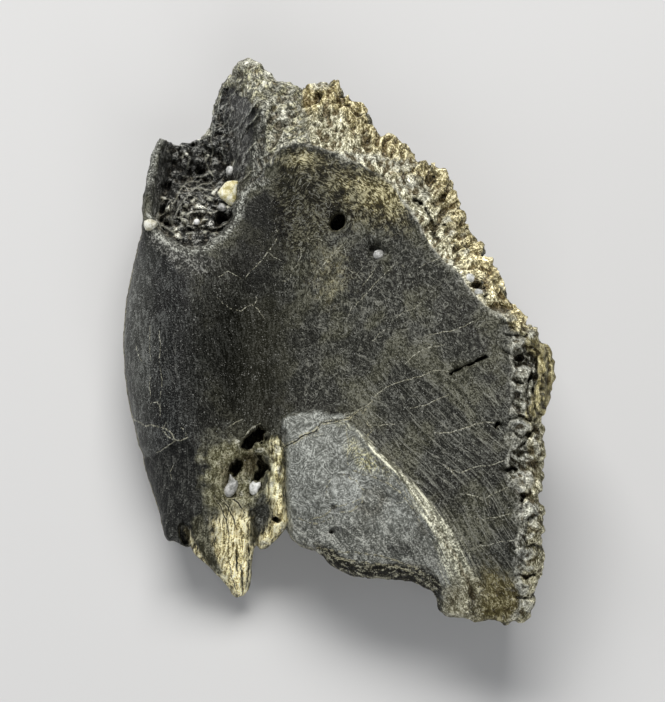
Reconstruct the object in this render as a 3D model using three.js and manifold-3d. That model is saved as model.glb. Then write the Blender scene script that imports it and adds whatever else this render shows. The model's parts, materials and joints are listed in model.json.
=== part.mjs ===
// Fossil turtle shell fragment: one piece of shell with a rounded, broken-open
// flank on the left, a smooth plate rising to the right, a sutured right and
// upper-right edge, a raised grey lobe over an open arch, a bony fang beside it
// and a few grains of sand and gravel lodged in its openings.
//
// World frame: millimetres, +Z up, the flat worn facet of the underside lies on
// z = 0. The relief is laid out on a drawing plane that leans LAYOUT_TILT from
// upright, so outline stations (a, b) are drawing units on that plane and
// heights are measured straight up from the resting surface.
import * as THREE from 'three';
import { mergeVertices } from 'three/addons/utils/BufferGeometryUtils.js';
import Module from 'manifold-3d';

const wasm = await Module();
wasm.setup();

// ---------------------------------------------------------------- dimensions
const UNIT = 0.125;                 // mm per drawing unit
const DATUM_A = 335, DATUM_B = 350; // drawing unit that sits at the layout centre
const LAYOUT_TILT = 62 * Math.PI / 180;
const TAPER = 330;                  // mm, apex distance of the layout's slight taper
const ORIGIN = [0, -3.0, 6.0];      // mm, where the layout centre lies in the world
const CELL = 0.92;                  // mm, lattice step the relief is sampled on
const FACETS = 7200;                // triangles kept in the shell before the fine cuts
const EDGE_ROUND = 0.9;             // mm, rounding where walls meet the face
const FLANK_ROUND = 8.2;            // mm, radius of the rounded left flank
const LIP_ROUND = 1.3;              // mm, added rounding of the lobe's lower lip
const UNDERCUT = 0.22;              // inward slope of the hidden side walls
const LIP_THICK = 1.5;              // mm, thickness of the lobe where it overhangs the arch
const CAVITY_FLOOR = 8.6;           // mm, height of the floor at the back of the broken hollow
const FLOOR_RISE = 4.6;             // mm, rise of that floor toward its near side
const LOBE_STEP = 0.9;              // mm, height of the lobe above the face
const RIDGE_RISE = 1.0;             // mm, height of the ridge right of the lobe
const SPALL_DEPTH = 0.6;            // mm, depth of the flake lost from the flank
const GRAIN_GAP = 0.3;              // mm, clearance round each lodged grain

// ------------------------------------------------------------------- stations
const OUTLINE = [[250,59],[262,66],[272,77],[283,84],[296,86],[302,93],[315,82],[328,80],[342,84],[352,95],[362,108],[372,120],[385,135],[395,141],[406,148],[418,160],[428,165],[437,168],[446,178],[452,190],[458,205],[465,220],[473,237],[483,250],[491,262],[498,275],[507,290],[516,303],[526,318],[537,331],[539,340],[546,345],[551,355],[553,368],[552,385],[549,398],[545,408],[541,415],[543,430],[543,450],[541,470],[542,480],[539,500],[543,510],[543,530],[540,545],[541,560],[539,575],[536,590],[533,605],[529,617],[520,623],[505,624],[488,620],[470,620],[455,617],[443,615],[438,605],[435,597],[425,590],[415,583],[395,580],[375,579],[355,577],[340,572],[330,566],[322,556],[312,551],[300,547],[291,538],[286,528],[281,533],[275,540],[268,547],[260,549],[256,545],[252,560],[251,575],[248,590],[240,596],[233,594],[225,583],[215,572],[205,563],[195,555],[190,545],[188,548],[178,543],[168,541],[163,530],[160,515],[155,500],[150,485],[145,470],[143,455],[138,445],[134,425],[129,405],[126,385],[124,360],[123,335],[125,310],[128,290],[132,270],[137,250],[141,235],[143,220],[143,205],[146,185],[150,165],[155,148],[160,138],[170,141],[178,146],[190,143],[200,138],[208,131],[212,122],[214,112],[216,100],[220,90],[227,78],[236,67],[243,61]];

// heights of the smooth inner face, [a, b, mm above the resting plane]
const FACE = [
[300,150,21.5],[345,165,22.5],[390,195,23.8],[428,245,24.8],[470,292,25.5],[506,328,26],[516,400,25],[518,470,23],[521,540,19.5],[522,590,15],
[330,220,20],[380,255,21.8],[290,200,18.6],[400,300,22],[450,350,23.3],[400,350,21],[350,300,19],[350,350,17.6],[300,250,17.2],[300,300,15.6],[300,350,14.6],[260,250,15],[258,300,13.3],[250,340,12.8],[248,390,12.2],[300,400,14],[350,400,16.5],[400,400,19],[450,400,21.8],[450,450,20.5],[480,500,19.8],[470,550,16.5],[490,590,13.5],
[560,370,27],[560,480,25],[550,600,17],[480,220,27],[430,160,25],[380,110,23.5],[330,80,22],[300,90,21],[250,59,19.5],[262,110,19.8],[262,150,19],[255,185,17.5],
[215,245,16.2],[200,270,16.8],[195,300,16.8],[190,340,16.6],[190,400,15.6],[190,440,14.4],[188,480,12.6],[195,520,10.4],
[150,250,16.5],[150,300,16.6],[145,350,16.4],[150,400,15.4],[160,450,13.8],[165,500,11.5],[120,250,16],[110,350,16],[125,450,14],[150,550,9.5],
[225,236,16],[242,205,16.8],[150,165,15.5],[147,200,16],[200,200,16.2],[200,120,17],
[225,450,12.6],[250,440,12.2],[275,440,12.6],[240,480,10.8],[270,480,11.5],[235,520,8.6],[262,530,8],[236,560,5.8],[237,595,3],[215,560,6.8],[205,540,8.2],
[300,440,14.6],[340,440,16],[300,500,12.6],[340,500,14],[300,540,10.2],[340,560,10.8],[380,480,16.2],[400,520,15.4],[390,570,11.8],[430,560,14],[430,590,11],[460,600,11],
[300,600,6],[380,610,8],[450,640,8],[520,640,12],[237,620,1]];

// heights of the outer (under) side, [x, y, mm above the resting plane]
const UNDERSIDE = [
[-3,-2,-0.45],[-11,0,-0.3],[5,0,-0.3],[-3,9,-0.35],[-3,-13,-0.3],[-9,-9,-0.35],[4,9,-0.25],[-9,9,-0.25],[4,-10,-0.3],
[12,0,2.6],[18,0,8],[24,0,14],[28,0,17.5],[16,-14,5],[20,-24,6.5],[26,-28,9],[20,-40,0.8],[24,-44,1.2],[16,-42,0.8],[24,15,15],[16,18,9],[30,12,20],
[-18,0,1.2],[-23,0,4],[-28,0,8],[-20,-20,2.4],[-25,-24,5],[-20,16,3.5],[-26,18,8],
[-8,20,2.0],[-8,30,6.5],[3,22,4.5],[-15,32,6.5],[9,24,9],[-20,28,5.2],[0,34,11],
[-12.5,-41,0.3],[-12,-34,0.5],[-15,-28,1.2],[-8,-22,0.6],[0,-20,0.8],[8,-22,2.2],[0,-34,3],[10,-36,1.5],[0,-48,3],[28,-48,4],[-24,-38,4]];

// edge of the smooth face along its sutured and broken sides
const SUTURE_EDGE = [[262,40],[262,66],[264,100],[266,130],[268,160],[271,166],[276,153],[283,146],[292,144],[305,143.5],[319,147],[339,153.5],[352,160],[363,165],[376,174],[391,183],[399,195],[405,203],[420,225],[430,245],[445,262],[461,276],[471.5,291],[485,306],[500,314],[508,326],[513,345],[515,370],[517,395],[516,420],[514,445],[511,469],[519,500],[519,530],[519,560],[522,590],[521,606],[512,630],[512,660]];
const FACE_AREA = [...SUTURE_EDGE, [512,720], [60,720], [60,40]];
// broken hollow in the upper flank: [a, b, width of the slope below that edge]
const HOLLOW = [[163,138,14],[158,150,16],[155,165,18],[152,190,16],[150,212,8],[154,228,6],[166,240,6],[178,247,6],[190,251.5,5],[204,248,5],[212,243,5],[219,238,5],[226,232,5],[232,226,6],[237,216,7],[239,205,8],[242,196,12],[246,187,24],[250,172,32],[252,160,34],[255,142,36],[256,125,38],[257,112,40],[257,100,38],[250,75,30],[240,60,20],[225,40,1],[130,40,1],[120,120,1]];
const LOBE = [[283,416],[300,411],[320,411],[341,413],[352,424],[367,440],[383,456],[400,480],[418,502],[436,530],[452,556],[465,582],[470,612],[440,620],[425,600],[400,592],[355,590],[322,572],[296,560],[286,538],[285,500],[284,450]];
const RIDGE = [[345,420,0.3,6],[358,430,0.4,6],[375,452,0.55,6],[395,468,0.8,6],[415,494,0.9,7],[434,520,0.9,9],[449,548,0.9,13],[463,576,0.85,16],[475,600,0.6,18]];
const SPALL = [[120,462],[142,457],[164,449],[174,440],[190,442],[200,470],[205,520],[196,550],[150,560],[120,520]];
// mouth of the arch under the lobe, in world x, y
const ARCH = [[-10.2,-60],[-10.2,-36],[-8.6,-28],[-4.5,-22.5],[1,-20.5],[7,-22.5],[11,-29],[12.6,-38],[12.8,-60]];

// --------------------------------------------------------------- small maths
const clamp = (x, a, b) => Math.min(b, Math.max(a, x));
const smooth = (t) => { t = clamp(t, 0, 1); return t * t * (3 - 2 * t); };
const smin = (a, b, k) => { const h = Math.max(k - Math.abs(a - b), 0) / k; return Math.min(a, b) - h * h * k * 0.25; };

function hash3(i, j, k) {
  let h = (i * 374761393 + j * 668265263 + k * 2147483647 + 1013904223) | 0;
  h = Math.imul(h ^ (h >>> 13), 1274126177);
  h = Math.imul(h ^ (h >>> 16), 2246822519);
  return ((h ^ (h >>> 15)) >>> 0) / 4294967296 * 2 - 1;
}
function noise3(x, y, z) {
  const i = Math.floor(x), j = Math.floor(y), k = Math.floor(z);
  const f = x - i, g = y - j, h = z - k;
  const a = smooth(f), b = smooth(g), c = smooth(h);
  const L = (p, q, t) => p + (q - p) * t;
  const row = (jj, kk) => L(hash3(i, jj, kk), hash3(i + 1, jj, kk), a);
  return L(L(row(j, k), row(j + 1, k), b), L(row(j, k + 1), row(j + 1, k + 1), b), c);
}

function segDist(px, py, ax, ay, bx, by) {
  const dx = bx - ax, dy = by - ay;
  const t = clamp(((px - ax) * dx + (py - ay) * dy) / (dx * dx + dy * dy), 0, 1);
  return [Math.hypot(px - ax - t * dx, py - ay - t * dy), t];
}
// signed distance to a closed polygon, positive inside
function insidePoly(p, x, y) {
  let d = 1e9, inside = false;
  for (let i = 0, j = p.length - 1; i < p.length; j = i++) {
    d = Math.min(d, segDist(x, y, p[j][0], p[j][1], p[i][0], p[i][1])[0]);
    if ((p[i][1] > y) !== (p[j][1] > y) && x < (p[j][0] - p[i][0]) * (y - p[i][1]) / (p[j][1] - p[i][1]) + p[i][0]) inside = !inside;
  }
  return inside ? d : -d;
}
// nearest point on an open polyline: [distance, side (+ right of travel on the drawing), segment, t]
function onLine(p, x, y) {
  let best = [1e9, 1, 0, 0];
  for (let i = 0; i + 1 < p.length; i++) {
    const [d, t] = segDist(x, y, p[i][0], p[i][1], p[i + 1][0], p[i + 1][1]);
    if (d < best[0]) {
      const s = (p[i + 1][0] - p[i][0]) * (y - p[i][1]) - (p[i + 1][1] - p[i][1]) * (x - p[i][0]);
      best = [d, s >= 0 ? 1 : -1, i, t];
    }
  }
  return best;
}
// smooth surface through scattered heights (polyharmonic r^2 log r, plus a plane)
function spline(points, scale) {
  const n = points.length, N = n + 3, A = [];
  const phi = (r2) => (r2 < 1e-12 ? 0 : 0.5 * r2 * Math.log(r2));
  for (let i = 0; i < N; i++) A.push(new Float64Array(N + 1));
  for (let i = 0; i < n; i++) {
    for (let j = 0; j < n; j++) {
      const dx = (points[i][0] - points[j][0]) / scale, dy = (points[i][1] - points[j][1]) / scale;
      A[i][j] = phi(dx * dx + dy * dy) + (i === j ? 0.002 : 0);
    }
    const row = [1, points[i][0] / scale, points[i][1] / scale];
    for (let k = 0; k < 3; k++) { A[i][n + k] = row[k]; A[n + k][i] = row[k]; }
    A[i][N] = points[i][2];
  }
  for (let c = 0; c < N; c++) {
    let p = c;
    for (let r = c + 1; r < N; r++) if (Math.abs(A[r][c]) > Math.abs(A[p][c])) p = r;
    [A[c], A[p]] = [A[p], A[c]];
    for (let r = c + 1; r < N; r++) {
      const m = A[r][c] / A[c][c];
      if (m !== 0) for (let k = c; k <= N; k++) A[r][k] -= m * A[c][k];
    }
  }
  const w = new Float64Array(N);
  for (let r = N - 1; r >= 0; r--) {
    let s = A[r][N];
    for (let k = r + 1; k < N; k++) s -= A[r][k] * w[k];
    w[r] = s / A[r][r];
  }
  return (x, y) => {
    let s = w[n] + w[n + 1] * x / scale + w[n + 2] * y / scale;
    for (let i = 0; i < n; i++) {
      const dx = (x - points[i][0]) / scale, dy = (y - points[i][1]) / scale;
      s += w[i] * phi(dx * dx + dy * dy);
    }
    return s;
  };
}

// ------------------------------------------------------------- layout frame
const SE = Math.sin(LAYOUT_TILT), CE = Math.cos(LAYOUT_TILT);
const toWorld = (u, v, w) => {
  const k = 1 - w / TAPER, U = u * k, V = v * k;
  return [ORIGIN[0] + U, ORIGIN[1] + V * SE - w * CE, ORIGIN[2] + V * CE + w * SE];
};
// layout depth of the point at drawing position (u, v) that lies at height z
const depthAt = (u, v, z) => (z - ORIGIN[2] - v * CE) / (SE - v * CE / TAPER);
// world point of a drawing station at height z
const at = (a, b, z) => {
  const u = (a - DATUM_A) * UNIT, v = (DATUM_B - b) * UNIT;
  return new THREE.Vector3(...toWorld(u, v, depthAt(u, v, z)));
};

// ------------------------------------------------------------ relief surfaces
const faceHeight = spline(FACE, 100);
const underHeight = spline(UNDERSIDE, 20);

function topHeight(a, b) {
  let z = faceHeight(a, b);
  // slope of the sutured and crumbled edges, toothed along its run
  const ds = onLine(SUTURE_EDGE, a, b)[0];
  if (insidePoly(FACE_AREA, a, b) < 0) {
    const run = b > 300 ? b : a + b;
    const tooth = 0.5 + 0.5 * Math.sin(run * 2 * Math.PI / 27);
    const fall = b < 165 ? 0.55 : b < 300 ? 0.85 : 1.15;
    z -= fall * ds * UNIT + (b > 300 ? 0.9 * tooth * smooth(ds / 9) : 0);
    z += 0.55 * noise3(a / 9, b / 9, 3.3) * smooth(ds / 8);
  }
  // lobe and the ridge beside it
  const dl = insidePoly(LOBE, a, b);
  const rise = a < 300 ? 4 : 9;
  z += LOBE_STEP * smooth(dl / rise + 0.5) * (b > 470 ? 1 : smooth((b - 400) / 40) * 0.6 + 0.4);
  const r = onLine(RIDGE, a, b), q = RIDGE[r[2]], q2 = RIDGE[r[2] + 1];
  const amp = q[2] + (q2[2] - q[2]) * r[3], wid = q[3] + (q2[3] - q[3]) * r[3];
  z += RIDGE_RISE * amp * Math.exp(-((r[0] / wid) ** 2));
  // crevice left of the lobe and the flake lost from the flank
  const crev = onLine([[285, 428], [284, 470], [285, 505], [288, 530]], a, b)[0];
  z -= 1.3 * Math.exp(-((crev / 4) ** 2));
  z -= SPALL_DEPTH * smooth(insidePoly(SPALL, a, b) / 5);
  // broken hollow
  let t = 1e9;
  if (insidePoly(HOLLOW, a, b) > 0) {
    for (let i = 0; i < HOLLOW.length; i++) {
      const p = HOLLOW[i], n = HOLLOW[(i + 1) % HOLLOW.length];
      t = Math.min(t, segDist(a, b, p[0], p[1], n[0], n[1])[0] / p[2]);
    }
    const floor = CAVITY_FLOOR + FLOOR_RISE * smooth((b - 178) / 26) * smooth((a - 158) / 16) + 1.6 * smooth((176 - b) / 40)
      + 1.6 * smooth((b - 222) / 20) * smooth((235 - a) / 40) + 0.5 * noise3(a / 14, b / 14, 7);
    z += (Math.min(floor, z) - z) * smooth(t);
  }
  return z;
}

// ---------------------------------------------------- sample the solid's field
function archField(p, roof) {
  return Math.min(insidePoly(ARCH, p[0], p[1]), roof - LIP_THICK - 0.1 * Math.max(0, p[1] + 40) - p[2]);
}
const U0 = -28.6, U1 = 29.4, V0 = -36.6, V1 = 38.4, W0 = -22, W1 = 27;
const nu = Math.round((U1 - U0) / CELL), nv = Math.round((V1 - V0) / CELL), nw = Math.round((W1 - W0) / CELL);
const du = (U1 - U0) / nu, dv = (V1 - V0) / nv, dw = (W1 - W0) / nw;
const SX = nu + 1, SY = nv + 1, SZ = nw + 1;
const field = new Float32Array(SX * SY * SZ);
const id = (i, j, k) => (k * SY + j) * SX + i;
for (let j = 0; j < SY; j++) for (let i = 0; i < SX; i++) {
  const u = U0 + i * du, v = V0 + j * dv;
  const a = DATUM_A + u / UNIT, b = DATUM_B - v / UNIT;
  const rim = insidePoly(OUTLINE, a, b) * UNIT;
  let z = topHeight(a, b);
  // the left flank turns under like the side of a tube
  const flank = smooth((235 - a) / 40) * smooth((b - 218) / 55) * (1 - smooth((b - 470) / 90));
  const lowLip = smooth((b - 535) / 20) * smooth((a - 284) / 10) * smooth((452 - a) / 16);
  const R = EDGE_ROUND + (FLANK_ROUND - EDGE_ROUND) * flank + LIP_ROUND * lowLip;
  const e = clamp(1 - rim / R, 0, 1);
  const top = depthAt(u, v, z) - R * 0.98 * (1 - Math.sqrt(Math.max(0, 1 - e * e)));
  for (let k = 0; k < SZ; k++) {
    const w = W0 + k * dw;
    const p = toWorld(u, v, w);
    const below = Math.max(0, top - w);
    let f = smin(top - w, rim - UNDERCUT * Math.max(0, below - 1.2) * (1 - 0.6 * flank), 0.5);
    f = smin(f, (p[2] - underHeight(p[0], p[1])) * 0.9, 1.6);
    f = smin(f, -archField(p, z), 0.6);
    field[id(i, j, k)] = f === 0 ? 1e-4 : f;
  }
}
// close the lattice's outer faces
for (let k = 0; k < SZ; k++) for (let j = 0; j < SY; j++) for (let i = 0; i < SX; i++) {
  if (i === 0 || j === 0 || k === 0 || i === nu || j === nv || k === nw) field[id(i, j, k)] = Math.min(field[id(i, j, k)], -0.3);
}

// ------------------------------------------------------- surface from the field
const TETS = [[0, 5, 1, 6], [0, 1, 2, 6], [0, 2, 3, 6], [0, 3, 7, 6], [0, 7, 4, 6], [0, 4, 5, 6]];
const CORNER = [[0, 0, 0], [1, 0, 0], [1, 1, 0], [0, 1, 0], [0, 0, 1], [1, 0, 1], [1, 1, 1], [0, 1, 1]];
const verts = [], tris = [], edgeVert = new Map();
function cut(p, q) {
  if (p > q) [p, q] = [q, p];
  const key = p * 4194304 + q;
  let n = edgeVert.get(key);
  if (n === undefined) {
    const fp = field[p], fq = field[q], t = clamp(fp / (fp - fq), 0.02, 0.98);
    const pos = (m) => [m % SX, Math.floor(m / SX) % SY, Math.floor(m / (SX * SY))];
    const A = pos(p), B = pos(q);
    n = verts.length;
    verts.push([0, 1, 2].map((c) => A[c] + (B[c] - A[c]) * t));
    edgeVert.set(key, n);
  }
  return n;
}
for (let k = 0; k < nw; k++) for (let j = 0; j < nv; j++) for (let i = 0; i < nu; i++) {
  const c = CORNER.map(([x, y, z]) => id(i + x, j + y, k + z));
  for (const T of TETS) {
    const q = T.map((n) => c[n]), inn = q.filter((n) => field[n] > 0), out = q.filter((n) => field[n] <= 0);
    if (!inn.length || !out.length) continue;
    const faces = [];
    if (inn.length === 1) faces.push([cut(inn[0], out[0]), cut(inn[0], out[1]), cut(inn[0], out[2])]);
    else if (inn.length === 3) faces.push([cut(out[0], inn[0]), cut(out[0], inn[1]), cut(out[0], inn[2])]);
    else {
      const s = [cut(inn[0], out[0]), cut(inn[0], out[1]), cut(inn[1], out[1]), cut(inn[1], out[0])];
      faces.push([s[0], s[1], s[2]], [s[0], s[2], s[3]]);
    }
    // outward: away from the material corner
    const ref = inn[0], rp = [ref % SX, Math.floor(ref / SX) % SY, Math.floor(ref / (SX * SY))];
    for (const f of faces) {
      const [A, B, C] = f.map((n) => verts[n]);
      const nx = (B[1] - A[1]) * (C[2] - A[2]) - (B[2] - A[2]) * (C[1] - A[1]);
      const ny = (B[2] - A[2]) * (C[0] - A[0]) - (B[0] - A[0]) * (C[2] - A[2]);
      const nz = (B[0] - A[0]) * (C[1] - A[1]) - (B[1] - A[1]) * (C[0] - A[0]);
      const s = nx * (A[0] - rp[0]) + ny * (A[1] - rp[1]) + nz * (A[2] - rp[2]);
      tris.push(s >= 0 ? f : [f[0], f[2], f[1]]);
    }
  }
}
let P = verts.map(([i, j, k]) => toWorld(U0 + i * du, V0 + j * dv, W0 + k * dw));

// keep the largest connected surface
{
  const root = P.map((_, i) => i);
  const find = (x) => { while (root[x] !== x) x = root[x] = root[root[x]]; return x; };
  for (const t of tris) { root[find(t[1])] = find(t[0]); root[find(t[2])] = find(t[0]); }
  const count = new Map();
  for (const t of tris) { const r = find(t[0]); count.set(r, (count.get(r) || 0) + 1); }
  const main = [...count.entries()].sort((x, y) => y[1] - x[1])[0][0];
  for (let i = tris.length - 1; i >= 0; i--) if (find(tris[i][0]) !== main) { tris[i] = tris[tris.length - 1]; tris.pop(); }
}

// ---------------------------------- thin the facets where the surface is plain
function thin(P, T, target) {
  const n = P.length, Q = Array.from({ length: n }, () => new Float64Array(10));
  const vt = Array.from({ length: n }, () => new Set());
  const alive = T.map(() => true);
  const normal = (a, b, c) => {
    const x1 = b[0] - a[0], y1 = b[1] - a[1], z1 = b[2] - a[2], x2 = c[0] - a[0], y2 = c[1] - a[1], z2 = c[2] - a[2];
    return [y1 * z2 - z1 * y2, z1 * x2 - x1 * z2, x1 * y2 - y1 * x2];
  };
  T.forEach((t, i) => {
    for (const v of t) vt[v].add(i);
    const m = normal(P[t[0]], P[t[1]], P[t[2]]), L = Math.hypot(...m) || 1e-12;
    const a = m[0] / L, b = m[1] / L, c = m[2] / L, d = -(a * P[t[0]][0] + b * P[t[0]][1] + c * P[t[0]][2]);
    const k = [a * a, a * b, a * c, a * d, b * b, b * c, b * d, c * c, c * d, d * d];
    for (const v of t) for (let j = 0; j < 10; j++) Q[v][j] += k[j] * L;
  });
  const err = (q, p) => q[0] * p[0] * p[0] + 2 * q[1] * p[0] * p[1] + 2 * q[2] * p[0] * p[2] + 2 * q[3] * p[0] + q[4] * p[1] * p[1] + 2 * q[5] * p[1] * p[2] + 2 * q[6] * p[1] + q[7] * p[2] * p[2] + 2 * q[8] * p[2] + q[9];
  const stamp = new Int32Array(n);
  const heap = [];
  const push = (e) => { heap.push(e); let i = heap.length - 1; while (i) { const p = (i - 1) >> 1; if (heap[p][0] <= heap[i][0]) break; [heap[p], heap[i]] = [heap[i], heap[p]]; i = p; } };
  const pop = () => {
    const r = heap[0], l = heap.pop();
    if (heap.length) { heap[0] = l; let i = 0; for (;;) { let c = 2 * i + 1; if (c >= heap.length) break; if (c + 1 < heap.length && heap[c + 1][0] < heap[c][0]) c++; if (heap[c][0] >= heap[i][0]) break; [heap[c], heap[i]] = [heap[i], heap[c]]; i = c; } }
    return r;
  };
  const offer = (a, b) => {
    const q = Q[a].map((x, i) => x + Q[b][i]);
    const mid = [0, 1, 2].map((c) => (P[a][c] + P[b][c]) / 2);
    let best = mid, e = err(q, mid);
    const det = q[0] * (q[4] * q[7] - q[5] * q[5]) - q[1] * (q[1] * q[7] - q[5] * q[2]) + q[2] * (q[1] * q[5] - q[4] * q[2]);
    if (Math.abs(det) > 1e-9) {
      const bx = -q[3], by = -q[6], bz = -q[8];
      const x = (bx * (q[4] * q[7] - q[5] * q[5]) - q[1] * (by * q[7] - q[5] * bz) + q[2] * (by * q[5] - q[4] * bz)) / det;
      const y = (q[0] * (by * q[7] - bz * q[5]) - bx * (q[1] * q[7] - q[5] * q[2]) + q[2] * (q[1] * bz - by * q[2])) / det;
      const z = (q[0] * (q[4] * bz - q[5] * by) - q[1] * (q[1] * bz - by * q[2]) + bx * (q[1] * q[5] - q[4] * q[2])) / det;
      if (Math.hypot(x - mid[0], y - mid[1], z - mid[2]) < 1.2) { const p = [x, y, z], ee = err(q, p); if (ee < e) { best = p; e = ee; } }
    }
    for (const p of [P[a], P[b]]) { const ee = err(q, p); if (ee < e) { best = p.slice(); e = ee; } }
    const len = Math.hypot(P[a][0] - P[b][0], P[a][1] - P[b][1], P[a][2] - P[b][2]);
    push([Math.max(e, 0) + 1e-4 * len * len, a, b, stamp[a], stamp[b], best]);
  };
  const seen = new Set();
  for (const t of T) for (let i = 0; i < 3; i++) { const a = Math.min(t[i], t[(i + 1) % 3]), b = Math.max(t[i], t[(i + 1) % 3]); const k = a * 4194304 + b; if (!seen.has(k)) { seen.add(k); offer(a, b); } }
  let left = T.length;
  while (left > target && heap.length) {
    const [, a, b, sa, sb, pos] = pop();
    if (stamp[a] !== sa || stamp[b] !== sb || sa < 0 || sb < 0) continue;
    const ring = (v) => { const s = new Set(); for (const t of vt[v]) for (const x of T[t]) if (x !== v) s.add(x); return s; };
    const ra = ring(a), rb = ring(b);
    let common = 0; for (const x of ra) if (rb.has(x)) common++;
    if (common !== 2) continue;
    let ok = true;
    for (const v of [a, b]) for (const t of vt[v]) {
      const tt = T[t]; if (tt.includes(a) && tt.includes(b)) continue;
      const o = normal(...tt.map((x) => P[x])), m = normal(...tt.map((x) => (x === v ? pos : P[x])));
      const lo = Math.hypot(...o), lm = Math.hypot(...m);
      if (lm < 1e-4 || o[0] * m[0] + o[1] * m[1] + o[2] * m[2] < 0.25 * lo * lm) { ok = false; break; }
    }
    if (!ok) continue;
    P[a] = pos;
    for (let i = 0; i < 10; i++) Q[a][i] += Q[b][i];
    for (const t of [...vt[b]]) {
      if (T[t].includes(a)) { for (const x of T[t]) vt[x].delete(t); alive[t] = false; left--; }
      else { T[t] = T[t].map((x) => (x === b ? a : x)); vt[a].add(t); vt[b].delete(t); }
    }
    stamp[b] = -1; stamp[a]++;
    for (const x of ring(a)) { offer(Math.min(a, x), Math.max(a, x)); }
  }
  const map = new Map(), V = [], F = [];
  T.forEach((t, i) => { if (alive[i]) F.push(t.map((x) => { if (!map.has(x)) { map.set(x, V.length); V.push(P[x]); } return map.get(x); })); });
  return [V, F];
}
const [shellV, shellF] = thin(P, tris, FACETS);

// --------------------------------------------------------- solids and boolean
function solidFrom(geometry, matrix) {
  let g = geometry.index ? geometry.clone() : geometry.clone();
  g.deleteAttribute('normal'); g.deleteAttribute('uv');
  if (matrix) g.applyMatrix4(matrix);
  g = mergeVertices(g, 1e-4);
  return new wasm.Manifold(new wasm.Mesh({ numProp: 3, vertProperties: new Float32Array(g.attributes.position.array), triVerts: new Uint32Array(g.index.array) }));
}
function geometryFrom(solid) {
  const m = solid.getMesh(), pos = new Float32Array(m.numVert * 3);
  for (let i = 0; i < m.numVert; i++) for (let c = 0; c < 3; c++) pos[3 * i + c] = m.vertProperties[i * m.numProp + c];
  const g = new THREE.BufferGeometry();
  g.setAttribute('position', new THREE.BufferAttribute(pos, 3));
  g.setIndex(Array.from(m.triVerts));
  const h = g.toNonIndexed(); h.computeVertexNormals();
  return h;
}
const shellGeo = new THREE.BufferGeometry();
shellGeo.setAttribute('position', new THREE.Float32BufferAttribute(shellV.flat(), 3));
shellGeo.setIndex(shellF.flat());
let shell = solidFrom(shellGeo);

// worn flat of the underside: everything below the resting plane is cut away
shell = shell.subtract(solidFrom(new THREE.BoxGeometry(120, 140, 20), new THREE.Matrix4().makeTranslation(0, 0, -10)));

// a cutter whose axis runs square to the layout plane, placed by station
const AXIS_Z = new THREE.Vector3(0, -CE, SE), AXIS_X = new THREE.Vector3(1, 0, 0), AXIS_Y = new THREE.Vector3(0, SE, CE);
function frameAt(a, b, z, turn = 0) {
  const c = Math.cos(turn), s = Math.sin(turn);
  const X = AXIS_X.clone().multiplyScalar(c).addScaledVector(AXIS_Y, s);
  const Y = AXIS_X.clone().multiplyScalar(-s).addScaledVector(AXIS_Y, c);
  return new THREE.Matrix4().makeBasis(X, Y, AXIS_Z).setPosition(at(a, b, z));
}
const drill = (a, b, rx, ry, depth, turn, sides = 14) => {
  const g = new THREE.CylinderGeometry(1, 0.72, depth + 4, sides, 1);
  g.rotateX(Math.PI / 2); g.scale(rx, ry, 1);
  g.translate(0, 0, 2 - depth / 2);
  return solidFrom(g, frameAt(a, b, topHeight(a, b), turn));
};
const cuts = [
  drill(338, 222, 0.95, 1.4, 4.5, -0.45),                    // main foramen
  drill(379, 255.5, 1.0, 1.0, 1.2, 0),                       // foramen that holds a pebble
  drill(498, 424, 0.5, 0.5, 2.5, 0, 8),                      // small pore
  drill(254, 436, 1.5, 0.85, 5.0, 0.35),                     // slot, upper hole
  drill(236, 467, 0.7, 1.0, 4.0, 0.2, 10),                   // slot, left hole
  drill(260, 468, 0.62, 1.25, 3.6, -0.1, 10),                // slot, right hole
  drill(276.5, 519.5, 0.55, 0.55, 2.0, 0, 8),                // pore at the foot of the slot
  drill(184, 535, 0.85, 1.6, 2.6, 0.3, 10),                  // broken pit beside the fang
  solidFrom(new THREE.BoxGeometry(4.9, 0.5, 7), frameAt(468.5, 365, topHeight(468.5, 365) - 0.4, 0.42)), // slit
  drill(517, 357, 0.8, 0.9, 2.2, 0, 10),                     // suture sockets
  drill(512, 469, 0.85, 0.7, 2.2, 0, 10),
  drill(522, 499, 0.6, 0.7, 1.6, 0, 8),
  drill(508, 326, 0.7, 0.5, 1.2, 0, 8),
];
for (const c of cuts) shell = shell.subtract(c);

// ----------------------------------------------------------- lodged grains
function grain(rx, ry, rz, seed, detail = 1, rough = 0.13) {
  const g = new THREE.IcosahedronGeometry(1, detail);
  const p = g.attributes.position, v = new THREE.Vector3();
  for (let i = 0; i < p.count; i++) {
    v.fromBufferAttribute(p, i);
    const k = 1 + rough * noise3(v.x * 1.7 + seed * 7.1, v.y * 1.7 + seed * 3.3, v.z * 1.7 - seed);
    p.setXYZ(i, v.x * rx * k, v.y * ry * k, v.z * rz * k);
  }
  return g;
}
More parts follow.
